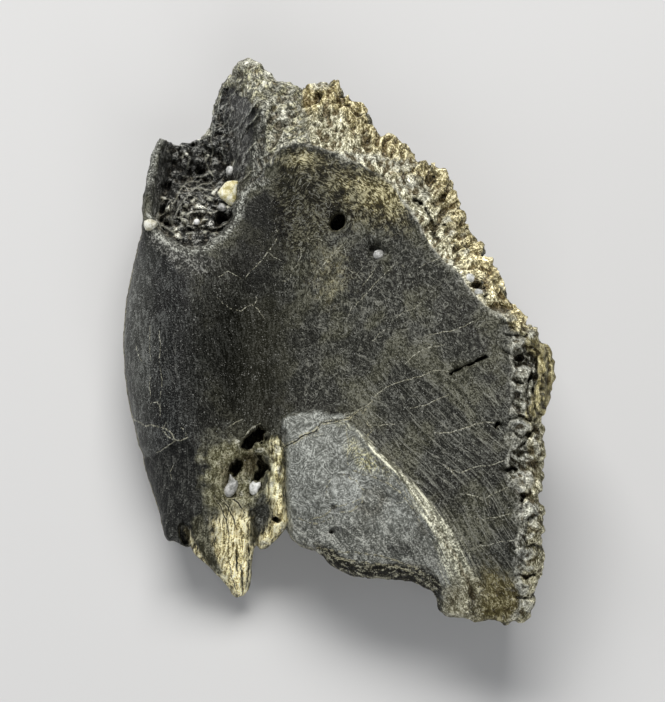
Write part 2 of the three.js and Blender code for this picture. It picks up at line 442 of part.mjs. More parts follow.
// [name, a, b, lift above the face, rx, ry, rz, turn, seed, colour, roughness]
const GRAINS = [
  ['yellow_grain', 229, 194, 1.25, 1.3, 1.65, 1.05, -0.45, 1, 0xd9c48a, 0.5],
  ['blue_white_bead', 230, 171, 0.85, 0.62, 0.72, 0.6, 0.2, 2, 0xc4cbd6, 0.4],
  ['cream_rim_grain', 150.5, 225, 0.45, 0.86, 0.76, 0.62, 0.2, 3, 0xe2dcc6, 0.5],
  ['grey_grain', 221, 207, 0.55, 0.6, 0.55, 0.5, 0.1, 4, 0x8d9496, 0.35],
  ['white_bead', 196, 221.5, 0.5, 0.46, 0.44, 0.42, 0, 5, 0xd6d8d4, 0.4],
  ['foramen_pebble', 379, 255.5, -0.35, 0.72, 0.72, 0.62, 0.1, 6, 0xb3afac, 0.4],
  ['slot_grey_pebble', 229, 486.5, 0.35, 0.78, 1.3, 0.7, -0.32, 7, 0xb9b9b6, 0.4],
  ['slot_white_pebble', 254.8, 488.2, 0.35, 0.74, 0.88, 0.62, -0.2, 8, 0xe6e5e0, 0.4],
  ['suture_white_grain', 470, 278, 0.3, 0.66, 0.5, 0.5, -0.3, 9, 0xd9dad8, 0.45],
  ['suture_small_grain', 478.5, 292, 0.25, 0.6, 0.36, 0.4, -0.15, 10, 0xcfd0ce, 0.45],
];
const group = new THREE.Group();
group.name = 'fossil_turtle_shell';
const grainMeshes = [];
for (const [name, a, b, lift, rx, ry, rz, turn, seed, colour, roughness] of GRAINS) {
  const m = frameAt(a, b, topHeight(a, b) + lift, turn);
  shell = shell.subtract(solidFrom(grain(rx + GRAIN_GAP, ry + GRAIN_GAP, rz + GRAIN_GAP, seed), m));
  const mesh = new THREE.Mesh(grain(rx, ry, rz, seed), new THREE.MeshStandardMaterial({ color: colour, roughness, metalness: 0 }));
  mesh.geometry = geometryFrom(solidFrom(mesh.geometry));
  mesh.name = name;
  mesh.applyMatrix4(m);
  grainMeshes.push(mesh);
}

// the fine cuts can leave loose crumbs: only the shell itself is kept
const bodies = shell.decompose().sort((x, y) => y.volume() - x.volume());
const shellMesh = new THREE.Mesh(geometryFrom(bodies[0]), new THREE.MeshStandardMaterial({ color: 0x3a3934, roughness: 0.45, metalness: 0 }));
shellMesh.name = 'shell_bone';
group.add(shellMesh, ...grainMeshes);

export default group;
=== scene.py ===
# Looks of the fossil turtle shell fragment: the detailed bone and its lodged
# grains, procedural materials, a plain floor, soft studio light and the camera.
import json
import math

import bpy
import numpy as np
from mathutils import Matrix, Vector

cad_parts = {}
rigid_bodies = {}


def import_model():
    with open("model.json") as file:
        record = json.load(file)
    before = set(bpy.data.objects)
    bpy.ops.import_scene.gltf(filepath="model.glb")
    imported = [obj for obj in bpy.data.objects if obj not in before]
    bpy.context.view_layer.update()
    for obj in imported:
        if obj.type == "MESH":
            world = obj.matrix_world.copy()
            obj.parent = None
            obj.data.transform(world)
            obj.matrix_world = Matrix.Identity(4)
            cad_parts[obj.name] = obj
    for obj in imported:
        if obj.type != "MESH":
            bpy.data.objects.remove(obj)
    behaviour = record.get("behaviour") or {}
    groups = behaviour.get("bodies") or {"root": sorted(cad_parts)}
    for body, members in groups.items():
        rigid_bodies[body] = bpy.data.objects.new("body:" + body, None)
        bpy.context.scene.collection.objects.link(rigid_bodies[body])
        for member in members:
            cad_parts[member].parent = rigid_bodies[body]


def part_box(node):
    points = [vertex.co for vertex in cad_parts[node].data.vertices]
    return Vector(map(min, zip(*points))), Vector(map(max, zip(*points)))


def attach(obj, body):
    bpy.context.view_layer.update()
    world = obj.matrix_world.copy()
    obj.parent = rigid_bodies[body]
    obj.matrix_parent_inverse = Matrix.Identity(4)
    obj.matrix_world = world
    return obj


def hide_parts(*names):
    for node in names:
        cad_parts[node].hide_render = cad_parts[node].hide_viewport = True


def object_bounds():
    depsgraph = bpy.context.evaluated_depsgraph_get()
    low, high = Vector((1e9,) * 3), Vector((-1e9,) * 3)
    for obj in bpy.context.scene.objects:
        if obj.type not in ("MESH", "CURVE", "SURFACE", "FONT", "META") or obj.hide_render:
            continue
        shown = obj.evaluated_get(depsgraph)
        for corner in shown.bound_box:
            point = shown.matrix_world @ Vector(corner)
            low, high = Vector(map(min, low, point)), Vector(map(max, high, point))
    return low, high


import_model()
CAD_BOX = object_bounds()

# ------------------------------------------------------------------ stations
# The relief is laid out on a plane that leans TILT from upright. Stations
# (a, b) are in eighths of a millimetre on it, heights are in millimetres.
UNIT = 0.125
DATUM = (335.0, 350.0)
TILT = math.radians(62)
SE, CE = math.sin(TILT), math.cos(TILT)
TAPER = 330.0
ORIGIN = np.array([0.0, -3.0, 6.0])
PITCH = 0.215
TRIANGLES = 196000

OUTLINE = [[250,59],[256,61],[262,66],[267,70],[272,77],[277,82],[283,84],[290,84],[296,86],[302,93],[308,86],[315,82],[321,79],[328,80],[335,82],[342,84],[346,90],[352,95],[357,101],[362,108],[368,113],[372,120],[378,129],[385,135],[391,138],[395,141],[400,143],[406,148],[412,154],[418,160],[424,162],[428,165],[433,164],[437,168],[443,171],[446,178],[449,184],[452,190],[456,197],[458,205],[462,213],[465,220],[470,229],[473,237],[479,245],[483,250],[485,258],[491,262],[494,269],[498,275],[501,282],[507,290],[511,297],[516,303],[520,311],[526,318],[530,323],[534,326],[537,331],[539,340],[546,345],[549,350],[551,355],[553,368],[553,377],[552,385],[550,391],[549,398],[548,404],[545,408],[544,412],[541,415],[539,421],[543,430],[542,440],[543,450],[543,456],[541,463],[541,470],[543,476],[542,480],[540,490],[539,500],[543,510],[542,520],[543,530],[540,538],[540,545],[542,553],[541,560],[541,568],[539,575],[536,583],[536,590],[534,598],[533,605],[530,611],[529,617],[520,623],[513,622],[505,624],[497,621],[488,620],[479,621],[470,620],[462,618],[455,617],[449,617],[443,615],[438,609],[438,605],[436,600],[435,597],[431,592],[425,590],[415,583],[405,581],[395,580],[385,580],[375,579],[365,578],[355,577],[347,575],[340,572],[335,569],[330,566],[322,556],[317,552],[312,551],[306,549],[300,547],[295,542],[291,538],[288,533],[286,528],[281,533],[278,537],[275,540],[271,544],[268,547],[264,549],[260,549],[256,545],[253,552],[252,560],[251,568],[251,575],[250,583],[248,590],[244,595],[240,596],[236,597],[233,594],[230,588],[225,583],[220,577],[215,572],[210,567],[205,563],[200,559],[195,555],[192,550],[190,545],[188,548],[183,546],[178,543],[173,541],[168,541],[165,537],[163,530],[161,523],[160,515],[157,507],[155,500],[152,492],[150,485],[147,477],[145,470],[143,462],[143,455],[140,449],[138,445],[136,435],[134,425],[131,415],[129,405],[127,395],[126,385],[124,372],[124,360],[123,348],[123,335],[124,322],[125,310],[126,300],[128,290],[130,280],[132,270],[134,260],[137,250],[139,242],[141,235],[142,228],[143,220],[142,212],[143,205],[144,195],[146,185],[147,175],[150,165],[152,156],[155,148],[157,142],[160,138],[165,140],[170,141],[174,144],[178,146],[184,144],[190,143],[195,141],[200,138],[204,135],[208,131],[211,127],[212,122],[213,117],[214,112],[215,106],[216,100],[218,95],[220,90],[223,84],[227,78],[231,72],[236,67],[240,63],[243,61],[246,59]]

FACE = [
[300,150,21.5],[345,165,22.5],[390,195,23.8],[428,245,24.8],[470,292,25.5],[506,328,26],[516,400,25],[518,470,23],[521,540,19.5],[522,590,15],
[330,220,20],[380,255,21.8],[290,200,18.6],[400,300,22],[450,350,23.3],[400,350,21],[350,300,19],[350,350,17.6],[300,250,17.2],[300,300,15.6],[300,350,14.6],[260,250,15],[258,300,13.3],[250,340,12.8],[248,390,12.2],[300,400,14],[350,400,16.5],[400,400,19],[450,400,21.8],[450,450,20.5],[480,500,19.8],[470,550,16.5],[490,590,13.5],
[560,370,27],[560,480,25],[550,600,17],[480,220,27],[430,160,25],[380,110,23.5],[330,80,22],[300,90,21],[250,59,19.5],[262,110,19.8],[262,150,19],[255,185,17.5],
[215,245,16.2],[200,270,16.8],[195,300,16.8],[190,340,16.6],[190,400,15.6],[190,440,14.4],[188,480,12.6],[195,520,10.4],
[150,250,16.5],[150,300,16.6],[145,350,16.4],[150,400,15.4],[160,450,13.8],[165,500,11.5],[120,250,16],[110,350,16],[125,450,14],[150,550,9.5],
[225,236,16],[242,205,16.8],[150,165,15.5],[147,200,16],[200,200,16.2],[200,120,17],
[225,450,12.6],[250,440,12.2],[275,440,12.6],[240,480,10.8],[270,480,11.5],[235,520,8.6],[262,530,8],[236,560,5.8],[237,595,3],[215,560,6.8],[205,540,8.2],
[300,440,14.6],[340,440,16],[300,500,12.6],[340,500,14],[300,540,10.2],[340,560,10.8],[380,480,16.2],[400,520,15.4],[390,570,11.8],[430,560,14],[430,590,11],[460,600,11],
[300,600,6],[380,610,8],[450,640,8],[520,640,12],[237,620,1]]

UNDERSIDE = [
[-3,-2,-0.45],[-11,0,-0.3],[5,0,-0.3],[-3,9,-0.35],[-3,-13,-0.3],[-9,-9,-0.35],[4,9,-0.25],[-9,9,-0.25],[4,-10,-0.3],
[12,0,2.6],[18,0,8],[24,0,14],[28,0,17.5],[16,-14,5],[20,-24,6.5],[26,-28,9],[20,-40,0.8],[24,-44,1.2],[16,-42,0.8],[24,15,15],[16,18,9],[30,12,20],
[-18,0,1.2],[-23,0,4],[-28,0,8],[-20,-20,2.4],[-25,-24,5],[-20,16,3.5],[-26,18,8],
[-8,20,2.0],[-8,30,6.5],[3,22,4.5],[-15,32,6.5],[9,24,9],[-20,28,5.2],[0,34,11],
[-12.5,-41,0.3],[-12,-34,0.5],[-15,-28,1.2],[-8,-22,0.6],[0,-20,0.8],[8,-22,2.2],[0,-34,3],[10,-36,1.5],[0,-48,3],[28,-48,4],[-24,-38,4]]

SUTURE_EDGE = [[262,40],[262,66],[264,85],[264,100],[266,115],[266,130],[267,145],[268,160],[271,166],[272,158],[276,152],[280,148],[284,145.5],[292,144],[299,143.5],[305,143.5],[312,145.5],[319,147],[330,151],[339,153.5],[346,157],[352,160],[363,165],[370,170],[376,174],[383,178],[391,183],[396,189],[399,195],[402,200],[405,203],[411,211],[420,225],[423,232],[430,245],[437,253],[445,262],[453,268],[461,276],[466,284],[471.5,291],[478,299],[485,306],[493,310],[500,314],[506,319],[508,326],[512,334],[513,345],[511,352],[510,360],[513,370],[511,378],[513,388],[515,397],[512,404],[514,412],[516,420],[511,427],[513,436],[514,445],[509,452],[507,460],[506,468],[508,478],[512,486],[516,493],[519,500],[518,510],[520,520],[519,530],[516,540],[515,548],[516,556],[516,563],[514,572],[517,582],[522,590],[522,598],[521,606],[514,618],[512,630],[512,660]]
FACE_AREA = SUTURE_EDGE + [[512,720],[60,720],[60,40]]
HOLLOW = [[163,138,14],[158,150,16],[155,165,18],[152,190,16],[150,212,8],[154,228,6],[166,240,6],[178,247,6],[190,251.5,5],[204,248,5],[212,243,5],[219,238,5],[226,232,5],[232,226,6],[237,216,7],[239,205,8],[242,196,12],[246,187,24],[250,172,32],[252,160,34],[255,142,36],[256,125,38],[257,112,40],[257,100,38],[250,75,30],[240,60,20],[225,40,1],[130,40,1],[120,120,1]]
LOBE = [[283,418],[290,414],[300,412],[310,413],[320,411],[330,413],[341,413],[347,418],[352,424],[359,431],[367,440],[375,448],[383,456],[392,467],[400,480],[408,490],[418,502],[427,515],[436,530],[444,543],[452,556],[459,568],[465,582],[470,612],[440,620],[425,600],[400,592],[355,590],[322,572],[296,560],[287,538],[286,520],[285,500],[286,485],[284,450],[282,432]]
RIDGE = [[345,420,0.3,4],[352,424,0.35,4],[358,430,0.4,4],[366,441,0.45,4],[375,452,0.55,4],[385,460,0.7,3.6],[395,468,0.8,3.8],[405,480,0.85,4.4],[415,494,0.9,5.5],[425,507,0.9,7],[434,520,0.9,9],[442,534,0.9,11],[449,548,0.9,13],[456,562,0.9,15],[463,576,0.85,16],[475,600,0.6,18]]
SPALL = [[120,462],[142,457],[153,454],[164,449],[170,444],[174,440],[182,441],[190,441],[197,455],[200,470],[205,520],[196,550],[150,560],[120,520]]
ARCH = [[-10.2,-60],[-10.2,-36],[-8.6,-28],[-4.5,-22.5],[1,-20.5],[7,-22.5],[11,-29],[12.6,-38],[12.8,-60]]
SLOT_A = [[243,443],[245,437],[250,432],[257,427],[262,428],[266,431],[266,437],[262,443],[256,445],[250,448],[246,452],[242,449]]
SLOT_B = [[230,463],[235,458],[242,455],[247,459],[245,467],[241,474],[236,477],[230,474]]
SLOT_C = [[256,463],[261,457],[266,459],[268,467],[265,476],[259,482],[253,481],[252,473]]
FANG = [[216,518],[224,512],[236,511],[247,511],[253,516],[255,524],[255,534],[252,546],[253,560],[251,580],[247,594],[237,598],[229,590],[221,577],[214,560],[210,540],[210,520]]
FANG_BAND = [[193,517],[203,512],[208,524],[212,545],[218,562],[222,575],[213,571],[203,560],[196,545],[191,530]]
FANG_EDGE = [[[180,517],[185,527],[190,540],[196,552],[206,563],[217,574],[227,586],[233,595]]]
SLOT_CREAM = [[269,440],[278,437],[283,448],[284.5,470],[283,490],[285,505],[286.5,522],[281,535],[271,544],[261,548.5],[255,546],[259,536],[268,526],[273,514],[271,502],[266,494],[268,480],[272,462]]
SLATE = [[253,510],[260,502],[267,505],[269,514],[265,526],[259,537],[253,543],[251,526]]
SLOT_OLIVE = [[202,448],[218,442],[240,438],[256,436],[270,440],[272,460],[270,492],[258,506],[240,512],[222,512],[206,512],[198,490]]
PEGS = [
 (518,343,11,8,-0.25,0.9,0.95),(522,372,10,8.5,0.0,0.9,0.8),(531,332,4.5,6.5,0.25,0.7,1.0),(519,391,6,6,0,0.6,0.6),(524,404,6,6,0.2,0.6,0.7),(520,426,13,6,0.02,0.8,0.95),
 (534,442,6,9,0.3,0.7,0.25),(523,481,13,11.5,0.05,1.3,0.75),(530,511,11,11,0.5,1.0,0.85),(524,553,11,6.5,0.1,0.8,0.7),(528,536,10,4,-0.4,0.6,0.4),(528,568,10,4.5,-0.15,0.6,0.5),
 (521,588,9,8,0.2,0.7,0.75),(527,606,8,8,0,0.5,0.5),(508,314,12,5,0.4,0.6,0.9),(514,457,5,5,0,0.5,0.5),(529,460,8,5,0.1,0.5,0.35),(497,307,7,5,0.5,0.5,0.8),(536,452,5,6,0,0.5,0.2),(534,525,7,6,0.3,0.4,0.3),
 (513,411,5,5,0,0.4,0.5),(517,572,5,5,0,0.4,0.4),(510,436,5,4,0,0.3,0.4)]
GROOVES = [
 [[506,349],[512,355],[520,355],[527,350]],[[511,361],[516,367],[521,362],[527,366]],[[512,380],[520,384],[529,381]],[[531,343],[533,360],[530,380],[528,400],[531,416]],[[504,468],[511,469.5],[518,466]],
 [[512,491],[522,494],[533,491]],[[513,529],[520,533],[526,541]],[[511,545],[514,553],[522,561]],[[514,575],[524,578],[534,573]],[[520,446],[525,439],[530,432]],[[527,453],[520,450]],[[509,420],[518,418],[531,419]],
 [[510,433],[522,434],[532,432]],[[505,325],[512,322],[519,327]],[[508,337],[516,334],[525,336]],[[517,394],[514,402],[518,412]],[[519,497],[522,505],[519,512]],[[508,455],[514,462],[509,470]],[[536,418],[534,428],[538,438]],
 [[527,520],[534,514],[541,512]],[[526,546],[534,545],[541,548]],[[514,597],[522,598],[533,596]],[[535,346],[538,362],[536,382],[535,400],[538,412]],[[543,346],[546,362],[544,384],[543,404]],[[475,283],[481,286],[486,293],[484,299]],
 [[431,230],[434,238],[437,244]],[[424,210],[430,220],[432,228]],[[414,199],[422,206]]]
PEAK = [[246,54],[262,58],[285,78],[305,84],[300,110],[290,138],[274,145],[268,160],[265,182],[252,186],[247,184],[252,160],[256,135],[257,112],[246,98],[228,92],[216,112],[211,134],[198,143],[197,130],[210,118],[216,98],[228,72]]
WALL = [[217,104],[222,90],[236,85],[239,96],[232,110],[240,108],[252,103],[258,112],[256,130],[251,148],[246,168],[240,180],[230,180],[222,168],[214,150],[211,130]]
PAD = [[268,190],[271,165],[276,153],[283,146],[292,144],[305,144],[319,147],[339,154],[352,160],[363,165],[376,174],[391,183],[400,195],[407,207],[417,224],[412,240],[390,236],[360,228],[330,240],[300,262],[280,250],[270,220]]

# light veins and dark cracks: (points, half width in mm, kind) kind 1 light, 2 dark with pale edges
# -------------------------------------------------------------- small maths
def smooth(t):
    t = np.clip(t, 0.0, 1.0)
    return t * t * (3 - 2 * t)


def smin(a, b, k):
    h = np.maximum(k - np.abs(a - b), 0.0) / k
    return np.minimum(a, b) - h * h * k * 0.25


def hash3(i, j, k, seed):
    with np.errstate(over="ignore"):
        h = (i.astype(np.uint32) * np.uint32(374761393) + j.astype(np.uint32) * np.uint32(668265263)
             + k.astype(np.uint32) * np.uint32(2246822519) + np.uint32((seed * 3266489917 + 1013904223) & 0xFFFFFFFF))
        h = (h ^ (h >> np.uint32(13))) * np.uint32(1274126177)
        h = (h ^ (h >> np.uint32(16))) * np.uint32(2246822519)
        h = h ^ (h >> np.uint32(15))
    return h.astype(np.float32) * np.float32(2.0 / 4294967295.0) - np.float32(1.0)


def noise(x, y, z, seed=0):
    """Smooth value noise in -1..1."""
    x, y, z = np.broadcast_arrays(x, y, z)
    i, j, k = np.floor(x), np.floor(y), np.floor(z)
    f, g, h = x - i, y - j, z - k
    f, g, h = f * f * (3 - 2 * f), g * g * (3 - 2 * g), h * h * (3 - 2 * h)
    i, j, k = i.astype(np.int64), j.astype(np.int64), k.astype(np.int64)
    out = 0.0
    for di in (0, 1):
        wi = f if di else 1 - f
        for dj in (0, 1):
            wj = g if dj else 1 - g
            for dk in (0, 1):
                wk = h if dk else 1 - h
                out = out + wi * wj * wk * hash3(i + di, j + dj, k + dk, seed)
    return out


def fbm(x, y, z, octaves=3, seed=0, gain=0.5):
    s, a, t = 0.0, 1.0, 0.0
    for o in range(octaves):
        s = s + a * noise(x * 2 ** o, y * 2 ** o, z * 2 ** o, seed + 17 * o)
        t += a
        a *= gain
    return s / t


def ridged(x, y, z, seed=0):
    return 1 - 2 * np.abs(noise(x, y, z, seed))


def line_dist(pts, A, B):
    """(distance, signed side, run along the line, segment, t) to an open polyline."""
    best = np.full(A.shape, 1e9)
    run = np.zeros(A.shape)
    side = np.ones(A.shape)
    seg = np.zeros(A.shape, np.int32)
    tt = np.zeros(A.shape)
    s0 = 0.0
    for n in range(len(pts) - 1):
        ax, ay, bx, by = pts[n][0], pts[n][1], pts[n + 1][0], pts[n + 1][1]
        dx, dy = bx - ax, by - ay
        L = math.hypot(dx, dy)
        t = np.clip(((A - ax) * dx + (B - ay) * dy) / (L * L), 0, 1)
        d = np.hypot(A - ax - t * dx, B - ay - t * dy)
        m = d < best
        best = np.where(m, d, best)
        run = np.where(m, s0 + t * L, run)
        side = np.where(m, np.sign(dx * (B - ay) - dy * (A - ax) + 1e-9), side)
        seg = np.where(m, n, seg)
        tt = np.where(m, t, tt)
        s0 += L
    return best, side, run, seg, tt


def poly_dist(poly, A, B):
    """Signed distance to a closed polygon, positive inside."""
    d = np.full(A.shape, 1e9)
    inside = np.zeros(A.shape, bool)
    j = len(poly) - 1
    for i in range(len(poly)):
        ax, ay, bx, by = poly[j][0], poly[j][1], poly[i][0], poly[i][1]
        dx, dy = bx - ax, by - ay
        t = np.clip(((A - ax) * dx + (B - ay) * dy) / (dx * dx + dy * dy), 0, 1)
        d = np.minimum(d, np.hypot(A - ax - t * dx, B - ay - t * dy))
        if by != ay:
            c = ((by > B) != (ay > B)) & (A < (ax - bx) * (B - by) / (ay - by) + bx)
            inside ^= c
        j = i
    return np.where(inside, d, -d)


def spline(points, scale):
    p = np.array(points, float)
    q = p[:, :2] / scale
    n = len(p)

    def phi(r2):
        return np.where(r2 < 1e-12, 0.0, 0.5 * r2 * np.log(np.maximum(r2, 1e-12)))
    M = np.zeros((n + 3, n + 3))
    M[:n, :n] = phi(((q[:, None] - q[None]) ** 2).sum(-1)) + np.eye(n) * 0.002
    M[:n, n] = M[n, :n] = 1
    M[:n, n + 1:] = q
    M[n + 1:, :n] = q.T
    w = np.linalg.solve(M, np.r_[p[:, 2], 0, 0, 0])

    def f(x, y):
        sh = np.shape(x)
        X = np.stack([np.ravel(x), np.ravel(y)], -1) / scale
        out = np.empty(len(X))
        for s in range(0, len(X), 40000):
            c = X[s:s + 40000]
            r2 = ((c[:, None, 0] - q[None, :, 0]) ** 2 + (c[:, None, 1] - q[None, :, 1]) ** 2)
            out[s:s + 40000] = phi(r2) @ w[:n] + w[n] + c @ w[n + 1:]
        return out.reshape(sh)
    return f


def to_world(L):
    k = 1 - L[:, 2] / TAPER
    U, V = L[:, 0] * k, L[:, 1] * k
    return np.stack([ORIGIN[0] + U, ORIGIN[1] + V * SE - L[:, 2] * CE, ORIGIN[2] + V * CE + L[:, 2] * SE], -1)


def to_layout(P):
    q = P - ORIGIN
    w = -q[:, 1] * CE + q[:, 2] * SE
    v = q[:, 1] * SE + q[:, 2] * CE
    k = 1 - w / TAPER
    return np.stack([q[:, 0] / k, v / k, w], -1)


def depth_at(u, v, z):
    return (z - ORIGIN[2] - v * CE) / (SE - v * CE / TAPER)


face_height = spline(FACE, 100.0)
under_height = spline(UNDERSIDE, 20.0)


def bump(A, B, a, b, rx, ry, turn=0.0, soft=1.0):
    """1 at the centre of a rounded boss or pit, 0 outside it."""
    c, s = math.cos(turn), math.sin(turn)
    x, y = (A - a) * c + (B - b) * s, -(A - a) * s + (B - b) * c
    r = np.sqrt((x / rx) ** 2 + (y / ry) ** 2)
    return smooth((1 - r) / soft)


def hollow_depth(A, B):
    t = np.full(A.shape, 1e9)
    for i in range(len(HOLLOW)):
        p, n = HOLLOW[i], HOLLOW[(i + 1) % len(HOLLOW)]
        dx, dy = n[0] - p[0], n[1] - p[1]
        s = np.clip(((A - p[0]) * dx + (B - p[1]) * dy) / (dx * dx + dy * dy), 0, 1)
        t = np.minimum(t, np.hypot(A - p[0] - s * dx, B - p[1] - s * dy) / p[2])
    return np.where(poly_dist([p[:2] for p in HOLLOW], A, B) > 0, t, 0.0)


# thin plates of spongy bone in the broken hollow: points, half width, height
STRUTS = [
 ([[171,219],[171,211],[173,205],[177,197],[181,189],[186,183],[192,181],[199,182]], 1.5, 1.1),
 ([[176,215],[179,207],[184,200],[189,194],[196,198],[204,203]], 1.5, 1.0),
 ([[181,186],[190,189],[200,188],[208,190],[216,190]], 1.4, 0.9),
 ([[174,218],[184,216],[192,212],[202,211],[212,213],[220,210]], 1.9, 1.2),
 ([[189,194],[194,188],[200,190],[206,196],[212,198]], 1.2, 0.6),
 ([[206,185],[212,182],[219,184],[222,190]], 1.3, 0.7),
 ([[160,217],[166,212],[168,206]], 1.6, 1.0),
 ([[196,186],[200,180],[208,178],[214,182]], 1.1, 0.6),
 ([[194,189],[202,184],[210,183],[217,188]], 1.0, 0.5),
 ([[183,176],[192,178],[204,176],[214,171]], 1.5, 0.8),
 ([[205,152],[206,162],[209,170],[213,176]], 1.6, 0.8),
 ([[183,152],[190,158],[187,168]], 1.8, 0.7),
 ([[160,203],[166,198],[172,200]], 1.2, 0.6),
 ([[178,227],[186,225],[194,228],[204,226]], 1.8, 1.0),
 ([[152,222],[162,225],[172,231],[182,238]], 2.2, 1.1),
 ([[208,228],[218,228],[228,222]], 1.5, 0.8),
]
# crumbs: a, b, rx, ry, turn, height, whiteness
CRUMBS = [
 (200,206.5,5.0,3.2,0.1,1.2,1.0),(196,221,3.6,3.6,0,0.9,1.0),(203,220,3.6,3.4,0,0.9,0.6),(163,197.5,3.6,1.8,0.2,0.7,0.8),(167.5,209.5,2.6,3.2,0,1.0,0.9),(157,219,4.0,4.0,0.2,1.0,0.8),
 (160,225,4.4,3.6,0,0.9,0.55),(178,235.5,3.4,3.4,0.3,0.9,0.95),(176,229,2.6,2.0,0,0.7,0.7),(185,221,4.4,3.2,0.2,0.9,0.4),(188,215,3,2.6,0,0.7,0.4),(190,233,4,3,0,0.7,0.3),(214,192,3.4,2.4,-0.4,0.9,0.8),
 (209,199,3.0,2.4,0,0.7,0.5),(193,201,2.6,3.0,0,0.8,0.45),(186,206,3,4,0,0.7,0.4),(183,213,3,2.4,0,0.6,0.35),(172,222,2.4,2.4,0,0.5,0.3),(187,154.5,2.2,2.0,0,0.6,0.75),(183,156,1.6,1.6,0,0.4,0.5),
 (199,139,2.6,2.0,0,0.5,0.9),(207,157,2,4,0,0.6,0.35),(226,206,3.5,3.0,0,0.7,0.5),(205,232,4,2.6,0,0.7,0.35),(214,234,4,2.6,-0.3,0.7,0.35),(168,216,2,2,0,0.5,0.7),(153,230,4,3,0.3,0.6,0.5),
 (225,163,1.8,1.4,0.6,0.4,0.8),(233,163,1.6,2.6,0,0.4,0.7),(171,203,1.6,1.2,0,0.4,0.6),(211,214,2,1.6,0,0.5,0.5),(168,151,2,2,0,0.4,0.3),
]
LAMINAE = [
 ([[256,102],[251,110],[246,117],[238,128],[231,131],[225,134],[222,138],[221,142]], 2.0, 0.8),
 ([[257,115],[252,122],[247,126],[242,134],[239,142],[239,150],[238,155],[236,163]], 2.0, 1.0),
 ([[254,144],[249,150],[245,155],[241,165],[238,174],[236,181]], 2.2, 1.0),
 ([[250,172],[244,178],[238,182]], 2.0, 0.7),
 ([[238,88],[231,96],[226,106],[224,116]], 2.2, 0.8),
 ([[222,92],[219,104],[216,120],[214,134]], 2.4, 0.7),
 ([[232,110],[228,120],[222,128],[218,130]], 2.0, 0.6),
 ([[222,142],[222,152],[226,160]], 1.8, 0.6),
 ([[212,128],[211,140],[213,152],[211,162]], 2.2, 0.9),
]
